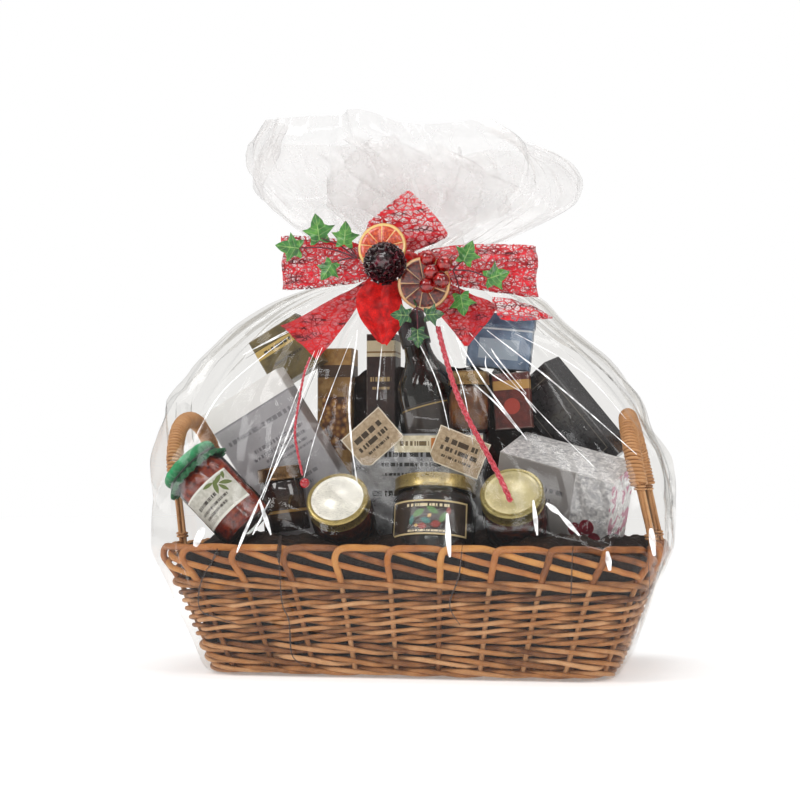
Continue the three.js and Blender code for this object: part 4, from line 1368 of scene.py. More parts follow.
def addBottle():
    radius, neck, height, pose = bottle["radius"], bottle["neck"], bottle["height"], bottle["pose"]
    glass = spinProfile("darkBottle", [
        (0, 9), (radius * 0.45, 6), (radius - 7, 0.6), (radius - 3.5, 0), (radius - 0.8, 1.4), (radius, 4.5),
        (radius, 210),
        (radius - 0.8, 219), (radius - 3.4, 228), (radius - 9, 237.5), (neck + 4.5, 246), (neck + 1.8, 253),
        (neck + 0.4, 260),
        (neck, 266), (neck, height - 1), (neck - 1, height), (0, height),
    ], 72)
    material = newMaterial("darkBottleGlass", rough=0.06, coat=1.0, coatRough=0.02)
    local = localCoords(pose)
    x, y, z = split(local)
    cloud = noiseAt(local, 0.05, 4)
    bars = barRows(x, z, [(150, 158, -24, 22, 0.3, 6), (134, 138, -20, 20, 0.5, 16),
                          (122, 125, -20, 20, 0.6, 26)])
    lines = either(between(z, 196, 197.5), between(z, 98, 99.5))
    label = painted(twoTones(cloud, "2c2623", "463d37"), (bars, "8f8168"), (lines, "b39a5e"))
    onLabel = both(below(y, 6), between(z, 95, 200))
    linkTo(mixColours(onLabel, twoTones(cloud, "0a0b08", "1d1c17"), label), "colour")
    linkTo(rangeOf(onLabel, 0, 1, 0.06, 0.45), "rough")
    finishPiece(setDown(glass, pose), material, "bottle_glass", "bottle")
    outer, top, inner = neck + 1.95, height + 12, neck + 0.35
    capsule = spinProfile("bottleCapsule", [
        (0, top - 0.4), (outer - 3, top - 0.2), (outer - 1.4, top), (outer - 0.3, top - 1.2),
        (outer, top - 3),
        (outer - 0.2, top - 6), (outer + 0.2, top - 8), (outer, top - 10), (outer, 268), (outer - 0.4, 266),
        (inner, 266), (inner, height + 0.35), (0, height + 0.35),
    ], 64, 0.3)
    foil = newMaterial("darkCapsule", metal=0.35, rough=0.35, coat=0.3)
    local = localCoords(pose)
    creases = noiseAt(scaled(local, (0.6, 0.6, 0.05)), 1.0, 4)
    linkTo(twoTones(creases, "141214", "302b30"), "colour")
    addBump(creases, 0.5, 0.6)
    finishPiece(setDown(capsule, pose), foil, "capsule", "bottle_capsule")


def addJars():
    glass = glassFinish()
    for name, jar in jars.items():
        addGlassJar(name, jar, glass)
        if "lid" in jar:
            addLid(name + "Lid", jar, 72, "Gold", "lid_gold", jar["node"] + "_lid")
    wrapLabel("greenJarLabel", jars["green"], 22, 62, greenJarLabel(), "label_green_jar")
    wrapLabel("centreJarLabel", jars["centre"], 24, 60, centreJarLabel(), "label_centre_jar")
    addClothCap()
    addDarkJar()


# A cream band across the silver pack, and two kraft tags that lean on it

tags = {
    "tag_left": {"pose": {"at": (-49, -46.5, 246), "left": 41}, "size": (55, 43)},
    "tag_right": {"pose": {"at": (45, -46.5, 231), "left": -22}, "size": (58, 40)},
}
creamBand = {"at": (22, -42.8, 240), "size": (96, 18)}


def addTag(name, seed):
    tag = tags[name]
    width, height = tag["size"]
    toBasket = posed(tag["pose"])

    def point(u, v):
        x, z = (u - 0.5) * width, (v - 0.5) * height
        edge = 1 - 0.02 * abs(wobble(x / 6, z / 6, seed))
        nib = max(0.0, 8 - (u * width) - (v * height))
        curl = 0.9 * (2 * u - 1) ** 2 + 0.5 * wobble(x / 20, z / 20, seed)
        return toBasket(x * edge + nib / 2, -curl, z * edge + nib / 2)

    card = solidSheet(name + "Card", 36, 28, point, 0.6, 30)
    material = newMaterial(name + "Kraft", rough=0.85, sheen=0.1)
    u, v, _ = split(uvCoords())
    grain = objectNoise(260, 5, 0.7)
    kraft = colourRamp(grain, (0.3, "9a8468"), (0.55, "bfa98c"), (0.8, "d6c6ae"))
    across, up = times(u, width), times(v, height)
    bars = barRows(across, up, [
        (height * 0.62, height * 0.76, 10, width - 8, 0.22, seed),
        (height * 0.4, height * 0.52, 8, width - 8, 0.28, seed + 9),
        (height * 0.22, height * 0.29, 12, width - 12, 0.5, seed + 18),
    ])
    edge = either(below(up, 1.2), above(up, height - 1.2), below(across, 1.2), above(across, width - 1.2))
    linkTo(painted(kraft, (edge, "e6dcc8"), (bars, "463a2e")), "colour")
    addBump(grain, 0.3, 0.6)
    finishPiece(card, material, "kraft", name)


def addBand():
    width, height = creamBand["size"]
    x0, y0, z0 = creamBand["at"]

    def point(u, v):
        x, z = (u - 0.5) * width, (v - 0.5) * height
        return (x0 + x, y0 - 0.5 * sin(pi * u) + 0.3 * wobble(x / 14, z / 14, 5), z0 + z)

    strip = solidSheet("creamStrap", 48, 10, point, 0.5, 30)
    material = newMaterial("creamStrapPaper", rough=0.5)
    u, v, _ = split(uvCoords())
    tone = objectNoise(200, 4)
    patch = both(between(u, 0.42, 0.62), between(v, 0.15, 0.85))
    bars = barRows(times(u, width), times(v, height), [(7, 12, 6, 38, 0.4, 8), (6, 10, 64, 92, 0.5, 28)])
    linkTo(painted(twoTones(tone, "cfc3a2", "ece4cc"), (patch, "cc7a2c"), (bars, "6d5b3a")), "colour")
    addBump(tone, 0.2, 0.5)
    finishPiece(strip, material, "label", "band_cream")


addJars()
addBottle()
addTag("tag_left", 4)
addTag("tag_right", 40)
addBand()
print("jars, bottle and tags in place")


# The film: one clear sheet drawn up round the basket, gathered at the neck and spread into a plume

film = {
    "around": 288, "along": 176, "smoothings": 3,
    "facetsRound": 24, "bodyFacet": 64, "fineFacet": 27, "facetDepth": 5.0, "fineDepth": 1.6,
    "neckZ": 434, "neck": (434, 14, 14, 12, -20, 0), "plumeRise": 150,
    "plume": [
        (442, 14, 14, 12, -20, 0), (449, 55, 21, 18, -20, 4), (462, 100, 30, 26, -20, 10),
        (484, 137, 48, 42, -16, 20),
        (507, 172, 74, 66, -12, 20), (534, 184, 98, 86, -19, 12), (560, 172, 108, 92, -24, 8),
        (584, 142, 104, 88, -34, 6),
    ],
    # how far round from the front's middle (0 to 1) each pleat is, its width, height and lowest point
    "pleats": [
        (0.965, 13, 6, 205), (0.012, 12, 6, 178), (0.928, 11, 6, 170), (0.906, 8, 5, 215), (0.87, 12, 6, 205),
        (0.045, 9, 5, 150), (0.075, 12, 6, 190), (0.108, 9, 5, 230), (0.135, 12, 6, 200), (0.83, 10, 5, 220),
    ],
    "otherPleats": 22,
}


def facets(x, y, seed, repeat):  # flat creased facets from 0 to 1, that repeat after a full round
    x += y / 2
    i, j = floor(x), floor(y)
    fx, fy = x - i, y - j

    def knot(a, b):
        return noise.cell(Vector(((i + a) % repeat + 0.5, j + b + 0.5, seed + 0.5)))

    if fx + fy < 1:
        return knot(0, 0) * (1 - fx - fy) + knot(1, 0) * fx + knot(0, 1) * fy
    return knot(1, 1) * (fx + fy - 1) + knot(1, 0) * (1 - fy) + knot(0, 1) * (1 - fx)


def tentOf(away, width):
    return max(0.0, 1 - abs(away) / width)


def filmPleats():
    chance = random.Random(12)
    pleats = list(film["pleats"])
    for k in range(film["otherPleats"]):
        share = 0.16 + 0.64 * (k + chance.uniform(0.15, 0.85)) / film["otherPleats"]
        pleats.append((share, chance.uniform(8, 13), chance.uniform(3.5, 6.5), chance.uniform(150, 300)))
    return pleats


def plumeWave(angle, share):  # the lobes of the plume's edge, and how far its top falls
    ruffle = 0.085 * share * (sin(7 * angle + 0.6) + 0.7 * sin(11 * angle + 2.1))
    fall = share ** 3 * (12 * cos(angle) + 4 * sin(5 * angle + 1))
    return 1 + ruffle, fall


def filmSurface():
    levels = [(0, 4, 4, 3, 0, 0)] + filmLevels[:-1] + [film["neck"]] + film["plume"]
    rows = evenProfile(levels, film["along"], film["smoothings"])
    pleats = filmPleats()
    perimeters = [2 * pi * r[3] + 4 * (r[1] - r[3]) + 4 * (r[2] - r[3]) for r in rows]
    last = len(rows) - 1
    walked = stepsAlong(rows)

    def point(u, v):
        k = round(v * film["along"])
        z, halfX, halfY, corner, middleX, middleY = rows[k]
        low, high = rows[max(k - 1, 0)], rows[min(k + 1, last)]
        rise, spread = high[0] - low[0], (high[1] - low[1] + high[2] - low[2]) / 2
        size = hypot(rise, spread) or 1
        out, up = rise / size, -spread / size
        share = u + 0.5
        x, y, angle = planPoint(halfX, halfY, corner, share)
        turn = 2 * pi * share
        bend = wobble(3 * cos(turn), 3 * sin(turn), z / 70)
        onBody = easeStep(z, 6, 60) * (1 - easeStep(z, 380, 430))
        onPlume = easeStep(z, 446, 500)
        across = share * film["facetsRound"] + 0.8 * bend
        big = facets(across, walked[k] / film["bodyFacet"] + 0.5 * bend, 1, film["facetsRound"])
        small = facets(across * 2.5 + bend, walked[k] / film["fineFacet"], 2, 60)
        lift = onBody * (film["facetDepth"] * (big - 0.6) + film["fineDepth"] * (small - 0.5))
        lift += onPlume * (11 * (big - 0.5) + 2.5 * (small - 0.5))
        for around, width, height, bottom in pleats:
            away = ((share - around + 0.5) % 1 - 0.5) * perimeters[k]
            slim = width * mix(1, 0.25, easeStep(z, 300, 425))
            if abs(away) < slim:
                fade = easeStep(z, bottom, bottom + 90) * (1 - easeStep(z, 395, 432) * 0.75)
                lift = max(lift, lift * 0.5 + height * tentOf(away, slim) * fade)
        gather = easeStep(z, 408, 430) * (1 - easeStep(z, 450, 500))
        lift += gather * 1.7 * (sin(26 * turn) + 0.6 * sin(41 * turn + 1))
        x += lift * out * cos(angle)
        y += lift * out * sin(angle)
        z += lift * up * (onBody + gather)
        if k > 0 and rows[k][0] > film["neckZ"] + 2:
            topShare = min((rows[k][0] - film["neckZ"]) / film["plumeRise"], 1)
            wave, fall = plumeWave(atan2(y, x), topShare)
            x, y, z = x * wave, y * wave, z - fall
        return (middleX + x, middleY + y, z)

    return point


def filmFinish():
    material = emptyMaterial("clearFilm")
    coords = objectCoords()
    height = split(coords)["Z"]
    clear = addNode("BsdfTransparent", {
        "Color": mixColours(rangeOf(height, 0.42, 0.47), (0.93, 0.924, 0.912, 1), (0.98, 0.976, 0.972, 1))})
    bump = bumpFrom(noiseAt(coords, 90, 5, 0.7), 0.6, 0.3)
    gloss = addNode("BsdfGlossy", {"Roughness": 0.06, "Color": (1, 1, 1, 1), "Normal": bump})
    facing = addNode("LayerWeight", {"Blend": 0.5}, "Facing")
    shine = rangeOf(calc("POWER", facing, 4.0), 0.0, 1.0, 0.022, 0.5)
    haze, through = (addNode("Bsdf" + kind, {"Color": (0.9, 0.885, 0.88, 1)}) for kind in ("Diffuse",
                                                                                           "Translucent"))
    cloud = rangeOf(noiseAt(coords, 28, 4, 0.6), 0.35, 0.75, 0.65, 1.25)
    amount = times(rangeOf(height, 0.43, 0.5, 0.008, 0.3), cloud)  # milkier in the plume
    body = mixShaders(amount, clear, mixShaders(0.5, haze, through))
    makeNode("OutputMaterial", {"Surface": mixShaders(shine, body, gloss)}).is_active_output = True
    return material


# The sheet's corners, folded in loose inside the plume: where each starts and ends, in turns round the neck,
# how wide it spreads as a share of the plume, and how high it reaches
innerFolds = [
    {"start": 0.52, "end": 0.98, "spread": 0.72, "top": 560, "seed": 31},
    {"start": 0.05, "end": 0.47, "spread": 0.6, "top": 572, "seed": 32},
    {"start": 0.3, "end": 0.78, "spread": 0.4, "top": 578, "seed": 33},
]


def innerFold(fold):
    levels = evenProfile([film["neck"]] + film["plume"], 40, 2)

    def point(u, v):
        turn = mix(fold["start"], fold["end"], u)
        z, halfX, halfY, corner, middleX, middleY = levels[round(v * 40)]
        height = mix(film["neckZ"] + 2, fold["top"], (z - film["neckZ"]) / film["plumeRise"])
        reach = fold["spread"] * (0.9 + 0.25 * wobble(u * 5, v * 3, fold["seed"]))
        x, y, _ = planPoint(halfX * reach, halfY * reach, corner * reach, turn + 0.25)
        crease = facets(u * 9 + 0.6 * v, v * 7, fold["seed"], 400) - 0.5
        lift = easeStep(v, 0.05, 0.4) * crease * 22
        droop = 16 * easeStep(v, 0.6, 1) * wobble(u * 6, 2, fold["seed"])
        angle = atan2(y, x)
        return (middleX + x + lift * cos(angle), middleY + y + lift * sin(angle), height + droop)

    return point


# Lines painted on the film's front: the bright ones are painted glints, white strips that glow where its
# creases and folds would catch the light, and the dark ones are painted shade along its creases. For each, the
# way it runs over its front, across and height, with its width in millimetres
creases = {
    # painted glints: white, glowing strips for the light caught on the film's creases and shards
    "bright": [
        (2.6, [(-56, 359), (-55, 342), (-55, 283), (-48, 236), (-40, 199)]),
        (1.2, [(-87, 354), (-109, 273), (-137, 181)]),
        (1.0, [(-95, 348), (-117, 268), (-139, 181)]), (0.8, [(-91, 350), (-111, 263), (-138, 183)]),
        (1.6, [(-112, 371), (-176, 333)]), (1.0, [(-115, 366), (-171, 336)]),
        (2.4, [(45, 357), (86, 297), (130, 241)]),
        (1.5, [(82, 356), (157, 297), (238, 226)]), (1.0, [(61, 357), (139, 271), (200, 211)]),
        (1.6, [(88, 336), (98, 322), (127, 288)]), (1.2, [(83, 328), (88, 311), (127, 287)]),
        (2.2, [(126, 284), (138, 268)]),
        (1.8, [(74, 298), (98, 277), (122, 249)]), (6.0, [(151, 178), (164, 168)]),
        (4.4, [(162, 170), (184, 147)]),
        (1.4, [(-107, 257), (-140, 181)]), (2.6, [(-144, 146), (-129, 181)]),
        (3.4, [(-140, 181), (-160, 128)]), (4.6, [(-140, 181), (-125, 146)]),
        (10, [(-196, 153), (-204, 134)]),
        (6.0, [(53, 168), (57, 125)]), (4.4, [(138, 181), (143, 147)]), (6.2, [(211, 132), (213, 113)]),
        (6.4, [(252, 154), (255, 127)]), (1.2, [(3, 358), (34, 303), (51, 251)]),
        (1.4, [(-27, 342), (-26, 283)]),
        (1.0, [(-60, 352), (-84, 260), (-96, 200)]), (1.0, [(30, 355), (60, 300), (76, 236)]),
        (1.2, [(-130, 352), (-190, 296), (-214, 246)]), (1.0, [(112, 352), (180, 312), (226, 262)]),
    ],
    # painted shade: dark strips along the film's creases, where they show dark
    "dark": [
        (2.0, [(-179, 128), (-199, 100), (-204, 70), (-182, 60), (-166, 55)]),
        (5.0, [(-115, 146), (-117, 118)]),
        (2.0, [(-116, 136), (-117, 80), (-111, 59), (-110, 23), (-94, 11)]),
        (2.6, [(-180, 132), (-190, 112)]),
        (1.8, [(70, 142), (65, 107), (55, 82), (56, 70), (64, 57)]), (1.6, [(178, 138), (174, 80)]),
        (1.2, [(249, 122), (249, 91), (242, 82)]), (0.9, [(-109, 371), (-172, 329)]),
        (0.8, [(-84, 350), (-130, 190)]),
    ],
}


def addPaintedLightLines(name, lift, colour, glow, cover):
    strips = []
    for width, run in creases[name]:
        path = smoothPath([Vector((x, 0, z)) for x, z in run], 8)
        last = len(path) - 1

        def point(u, v):
            k = round(v * last)
            along = path[min(k + 1, last)] - path[max(k - 1, 0)]
            aside = along.cross(Vector((0, 1, 0))).normalized()
            half = width * (0.25 + sin(pi * (0.06 + 0.9 * v)) * (0.6 + 0.4 * wobble(k / 3, width, 1)))
            at = path[k] + aside * half * (u - 0.5)
            return onFilm(at.x, at.z, lift)

        strips.append(makeSheet("creaseStrip", 2, last, point))
    whole = joinPieces(name + "PaintedLightLines", strips)
    # this finish carries the painted light: white and glowing for the glints, dark and unlit for the shade
    material = newMaterial(name + "Crease", rough=0.25, coat=0.5, glow=glow, glowColour=(1, 1, 1, 1))
    tone = objectNoise(90, 4)
    linkTo(twoTones(tone, *colour), "colour")
    linkTo(rangeOf(tone, 0.32, 0.62, *cover), "alpha")
    return finishPiece(whole, material, "film", "film_wrap")


def addFilm():
    wrap = makeSheet("clearFilmWrap", film["around"], film["along"], filmSurface())
    closeRound(wrap)
    folds = [makeSheet("plumeFold", 72, 40, innerFold(fold)) for fold in innerFolds]
    sheet = joinPieces("clearFilmWrap", [wrap] + folds)
    smoothShade(sheet, 28)
    finishPiece(sheet, filmFinish(), "film", "film_wrap", "film_plume")
    # painted glints, then painted shade, in strips laid just over the film's front
    lines = [addPaintedLightLines("bright", 1.2, ("dcdcdc", "ffffff"), 0.35, (0.35, 1.0)),
             addPaintedLightLines("dark", 1.0, ("1c1412", "3a2c26"), 0.0, (0.45, 0.9))]


addFilm()
print("film drawn up")


# The bow: strips of open red netting, shaped by where their middle runs and how far their edge is from it

bow = {
    "loopStations": [  # how far out, millimetres back, share of the width
        (0, -66, 0.45), (0.35, -73, 0.8), (0.75, -74, 0.96), (0.95, -69, 1), (1, -61, 1), (0.94, -53, 1),
        (0.7, -48, 0.92),
        (0.3, -49, 0.75), (0.02, -53, 0.45),
    ],
    "loops": {  # where it starts and ends across and up, half its width, its flat size and area, and its seed
        "left": ((-36, -146), (434, 435.5), 28.5, (0.057, 0.235), 0.0134, 7),
        "right": ((4, 131), (432, 420), 26.5, (0.053, 0.265), 0.014, 8),
    },
    "peak": [((-9, -62, 445), (12, 0, 0)), ((-8, -70, 454), (34, 0, -2)), ((-6, -77, 466), (43, 0, -5)),
             ((-4, -82, 486), (25, 0, -2)), ((-3, -84, 506), (2, 0, 0))],
    # both edges of each tail, from the knot outwards
    "tailLeft": [((-44, -66, 421), (-58, -62, 410)), (onFilm(-62, 381, 8), onFilm(-88, 397, 12)),
                 (onFilm(-78, 352, 3), onFilm(-116, 377, 9)), (onFilm(-95, 327, 1), onFilm(-140, 366, 5))],
    "middleFold": [((-18, -70, 416), (-42, -70, 420)), ((-10, -86, 392), (-58, -82, 398)),
                   (onFilm(-8, 368, 4), onFilm(-54, 372, 6)), (onFilm(-22, 341, 2), onFilm(-32, 345, 2))],
    "tailRight": [((26, -72, 414), (8, -72, 414)), ((62, -84, 396), (18, -84, 392)),
                  (onFilm(89, 380, 7), onFilm(28, 377, 5)), (onFilm(64, 339, 2), onFilm(60, 339, 2))],
    "tailFarRight": [((86, -84, 392), (86, -84, 386)), (onFilm(104, 391, 16), onFilm(96, 368, 10)),
                     (onFilm(126, 384, 14), onFilm(120, 366, 9)),
                     (onFilm(145, 374, 12), onFilm(145, 371, 12))],
}


def betweenEdges(pairs):
    return [((Vector(a) + Vector(b)) / 2, (Vector(a) - Vector(b)) / 2) for a, b in pairs]


def addStrip(name, node, stations, finish, flat, area, pleats, depth, seed, across=36):
    middles, halves = (smoothPath(points, 14) for points in zip(*stations))
    last = len(middles) - 1

    def point(u, v):
        k = round(v * last)
        along = middles[min(k + 1, last)] - middles[max(k - 1, 0)]
        half = halves[k]
        out = along.cross(half).normalized()
        side = 2 * u - 1
        fray = 1 + 0.035 * wobble(k / 6, 9 * (u > 0.5), seed)
        fold = depth * sin(pleats * pi * u + 1.3 * wobble(v * 3, u, seed) + seed)
        crumple = 1.5 * depth * wobble(u * 4, v * 5, seed)
        small = 0.5 * wobble(u * 14, v * 22, seed)
        return middles[k] + half * side * fray + out * (fold + crumple + small) * min(1, half.length / 12)

    strip = makeSheet(name, across, last, point)
    smoothShade(strip, 80)
    finishPiece(strip, finish, "ribbon", node)


def nettingFinish(name, thread, glow, opening, cell, solidBelow=None):  # dense below that height
    material = newMaterial(name, rough=0.5, sheen=0.12, specular=0.3)
    coords = objectCoords()
    bend = noiseAt(coords, 90, 2)
    shift = addNode("TexNoise", {"Vector": coords, "Scale": 110.0}, "Color")
    bent = addNode("VectorMath", {0: coords, 1: scaled(shift, (0.004, 0.004, 0.004))}, operation="ADD")
    coarse = cellsAt(scaled(bent, (1, 1, 1.7)), 130, "DISTANCE_TO_EDGE")
    fine = cellsAt(scaled(bent, (1.2, 1, 1.6)), 270, "DISTANCE_TO_EDGE")
    threads = either(rangeOf(coarse, 0.13, 0.07), rangeOf(fine, 0.1, 0.05, 0, 0.85))
    tone = noiseAt(scaled(coords, (0.35, 0.35, 1.5)), 130, 4)
    red = colourRamp(tone, (0.36, "520612"), (0.48, thread), (0.72, glow))
    cells = mixColours(rangeOf(bend, 0.35, 0.65), "c42434", cell)
    linkTo(mixColours(threads, cells, red), "colour")
    cover = rangeOf(threads, 0, 1, opening, 1.0)
    if solidBelow:
        cover = either(cover, rangeOf(split(coords)["Z"], (solidBelow + 12) * mm, (solidBelow - 6) * mm))
    linkTo(cover, "alpha")
    addBump(threads, 0.5, 0.8)
    return material


def satinFinish():
    material = newMaterial("denseRedRibbon", rough=0.5, sheen=0.1, specular=0.25)
    coords = objectCoords()
    web = cellsAt(coords, 380, "DISTANCE_TO_EDGE")
    tone = noiseAt(coords, 120, 4)
    red = colourRamp(tone, (0.3, "860406"), (0.5, "c80a0a"), (0.75, "ee1c14"))
    linkTo(mixColours(rangeOf(web, 0.02, 0.12, 0.45, 0), red, "8c0a10"), "colour")
    addBump(web, 0.5, 0.6)
    return material


def addKnot():
    def point(u, v):
        turn, rise = 2 * pi * u, pi * (v - 0.5)
        pucker = 1 + 0.07 * sin(11 * turn + 2 * sin(3 * rise)) * cos(rise)
        pucker += 0.08 * wobble(cos(turn) * 2, sin(turn) * 2, rise * 2)
        return (-16 + 21 * pucker * cos(rise) * sin(turn), -45.4 - 23 * pucker * cos(rise) * cos(turn),
                434 + 14.5 * sin(rise))

    knot = makeSheet("bowKnot", 96, 40, point)
    closeRound(knot)
    smoothShade(knot, 70)
    tie = []
    for strand in range(3):
        points = []
        for k in range(90):
            turn = 2 * pi * k / 90
            twist = 7 * turn + 2 * pi * strand / 3
            radius = 18.6 + 1.05 * cos(twist)
            points.append((-20 + radius * cos(turn), radius * sin(turn), 438 + 1.05 * sin(twist)))
        tie.append((points, [1.15] * 90))
    return knot, makeRods("neckTie", tie, closed=True)


def addBow():
    netting = nettingFinish("openRedNetting", "c40c1c", "e02c3a", 0.3, "f8c4c6")
    closeNetting = nettingFinish("closeRedNetting", "b80810", "d41c22", 0.86, "cc4450")
    peakNetting = nettingFinish("peakRedNetting", "c80e1e", "e83a46", 0.26, "f8c4c6", 466)
    dense = satinFinish()
    for side, (acrossEnds, upEnds, halfWidth, flat, area, seed) in bow["loops"].items():
        stations = [(Vector((mix(*acrossEnds, share), y, mix(*upEnds, share))),
                     Vector((0, 0, halfWidth * width)))
                    for share, y, width in bow["loopStations"]]
        addStrip("bowLoop" + side.title(), "bow_loop_" + side, stations, netting, flat, area, 3,
                 1.3, seed, 40)
    peak = [(Vector(at), Vector(half)) for at, half in bow["peak"]]
    addStrip("bowPeak", "bow_peak", peak, peakNetting, (0.088, 0.072), 0.0042, 5, 1.8, 11, 56)
    for name, node, edges, *rest in (
        ("bowTailLeft", "bow_tail_left", "tailLeft", closeNetting, (0.058, 0.12), 0.004, 4, 1.6, 5),
        ("bowMiddleFold", "bow_fold", "middleFold", dense, (0.05, 0.1), 0.0032, 3, 2.2, 7),
        ("bowTailRight", "bow_tail_right", "tailRight", closeNetting, (0.056, 0.1), 0.0035, 4, 1.6, 9),
        ("bowTailFarRight", "bow_tail_far_right", "tailFarRight", netting, (0.03, 0.075), 0.0017, 3, 1.0, 13),
    ):
        addStrip(name, node, betweenEdges(bow[edges]), *rest)
    knot, tie = addKnot()
    finishPiece(knot, dense, "ribbon", "bow_knot")
    finishPiece(tie, dense, "ribbon", "neck_tie")


addBow()
print("bow tied")


# Trimmings: ivy, dried orange slices, a small cone and berries

# An ivy leaf of size 1, tip up: height of the midrib, then how far out and how high the edge is
leafOutline = [
    (0.02, 0.03, 0.0), (0.03, 0.3, -0.17), (0.1, 0.5, -0.15), (0.2, 0.46, 0.05), (0.3, 0.41, 0.24),
    (0.42, 0.6, 0.43),
    (0.56, 0.83, 0.64), (0.66, 0.54, 0.66), (0.76, 0.34, 0.75), (0.92, 0.29, 0.93), (1.1, 0.17, 1.12),
    (1.3, 0.01, 1.3),
]
sprigs = {
    "ivy_left": {"root": (-58, -86, 436), "light": True, "leaves": [
        ((-121, -84, 448), 82, 20), ((-99, -84, 456), 8, 22), ((-71, -90, 450), -6, 19),
        ((-84, -90, 431), 150, 17)]},
    "ivy_right": {"root": (46, -92, 420), "light": True, "leaves": [
        ((58, -97, 428), -25, 18), ((82, -92, 410), -75, 19), ((54, -92, 394), -170, 18)]},
    "ivy_low": {"root": (10, -106, 380), "light": False, "leaves": [
        ((2, -107, 372), 88, 15), ((20, -107, 372), -88, 15), ((11, -107, 357), -176, 15)]},
}


def addLeaf(at, turn, size, seed):
    angle = radians(turn)

    def point(u, v):
        row = v * (len(leafOutline) - 1)
        k = min(int(row), len(leafOutline) - 2)
        middle, edgeX, edgeZ = (mix(a, b, row - k) for a, b in zip(leafOutline[k], leafOutline[k + 1]))
        side = 2 * u - 1
        x, z = edgeX * side, mix(middle, edgeZ, abs(side))
        vein = 0.012 * cos(9 * pi * v) * abs(side)
        back = 0.26 * abs(x) + 0.05 * wobble(x * 3, z * 3, seed) - 0.1 * z * z + vein
        x, z = x * cos(angle) - z * sin(angle), x * sin(angle) + z * cos(angle)
        return (at[0] + size * x, at[1] + size * back, at[2] + size * z)

    return solidSheet("ivyLeaf", 24, 44, point, 0.45, 60)


def leafFinish(name, dark, middle, light):
    material = newMaterial(name, rough=0.38, coat=0.25, coatRough=0.25, subsurface=0.1, subsurfaceScale=0.002)
    u, v, _ = split(uvCoords())
    side = calc("ABSOLUTE", minus(u, 0.5))
    cloud = objectNoise(140, 4)
    green = colourRamp(cloud, (0.3, dark), (0.5, middle), (0.72, light))
    slanted = calc("FRACT", minus(times(v, 5.0), times(side, 2.2)))
    ribs = rangeOf(calc("ABSOLUTE", minus(slanted, 0.5)), 0.0, 0.09, 0.75, 0)
    veins = either(ribs, rangeOf(side, 0.006, 0.03, 1, 0))
    linkTo(mixColours(times(veins, 0.6), green, "a9c878"), "colour")
    addBump(plus(cloud, times(veins, -0.6)), 0.5, 0.6)
    return material


def addIvy():
    light = leafFinish("ivyGreen", "1d4d1b", "35762a", "5c983a")
    dark = leafFinish("ivyDarkGreen", "0b2a15", "184a24", "2c6a34")
    stem = newMaterial("maroonStem", rough=0.5)
    linkTo(twoTones(objectNoise(300, 3), "3a1420", "6a2c34"), "colour")
    for k, (name, sprig) in enumerate(sprigs.items()):
        leaves = [addLeaf(at, turn, size, 10 * k + i) for i, (at, turn, size) in enumerate(sprig["leaves"])]
        foliage = joinPieces(name + "Leaves", leaves)
        runs = []
        root = Vector(sprig["root"])
        for at, turn, size in sprig["leaves"]:
            angle = radians(turn)
            end = Vector(at) + Vector((-0.12 * size * sin(angle), 0.5, 0.12 * size * cos(angle)))
            bend = (root + end) / 2 + Vector((0, 1.2, 0.08 * (end - root).length))
            path = smoothPath([root, bend, end], 8)
            runs.append((path, [mix(0.95, 0.6, i / (len(path) - 1)) for i in range(len(path))]))
        stems = makeRods(name + "Stems", runs)
        finishPiece(foliage, light if sprig["light"] else dark,
                    "leaf" if sprig["light"] else "leaf_dark", name)
        finishPiece(stems, stem, "leaf_dark")


slices = {
    "orange_slice_left": {
        "radius": 26, "pose": {"at": (-30, -90, 446), "forward": -10, "left": 10}, "slot": "orange_flesh",
        "flesh": ("8c1c06", "c83c0c", "e4721c"), "rind": ("c88a34", "ecca80"), "seed": 3,
    },
    "orange_slice_right": {
        "radius": 28, "pose": {"at": (16, -96, 406), "forward": 8}, "slot": "orange_dark",
        "flesh": ("280806", "58140c", "9a3a14"), "rind": ("a8702e", "e4b884"), "seed": 8,
    },
}
# share of the radius and half thickness, from the front's middle round the rind to the back's
sliceProfile = [
    (0.004, 1.2), (0.08, 1.5), (0.3, 1.3), (0.6, 1.4), (0.84, 1.5), (0.9, 1.9), (0.965, 2.3), (1.0, 1.2),
    (1.0, -1.2), (0.965, -2.3), (0.9, -1.9), (0.84, -1.5), (0.5, -1.4), (0.004, -1.3),
]


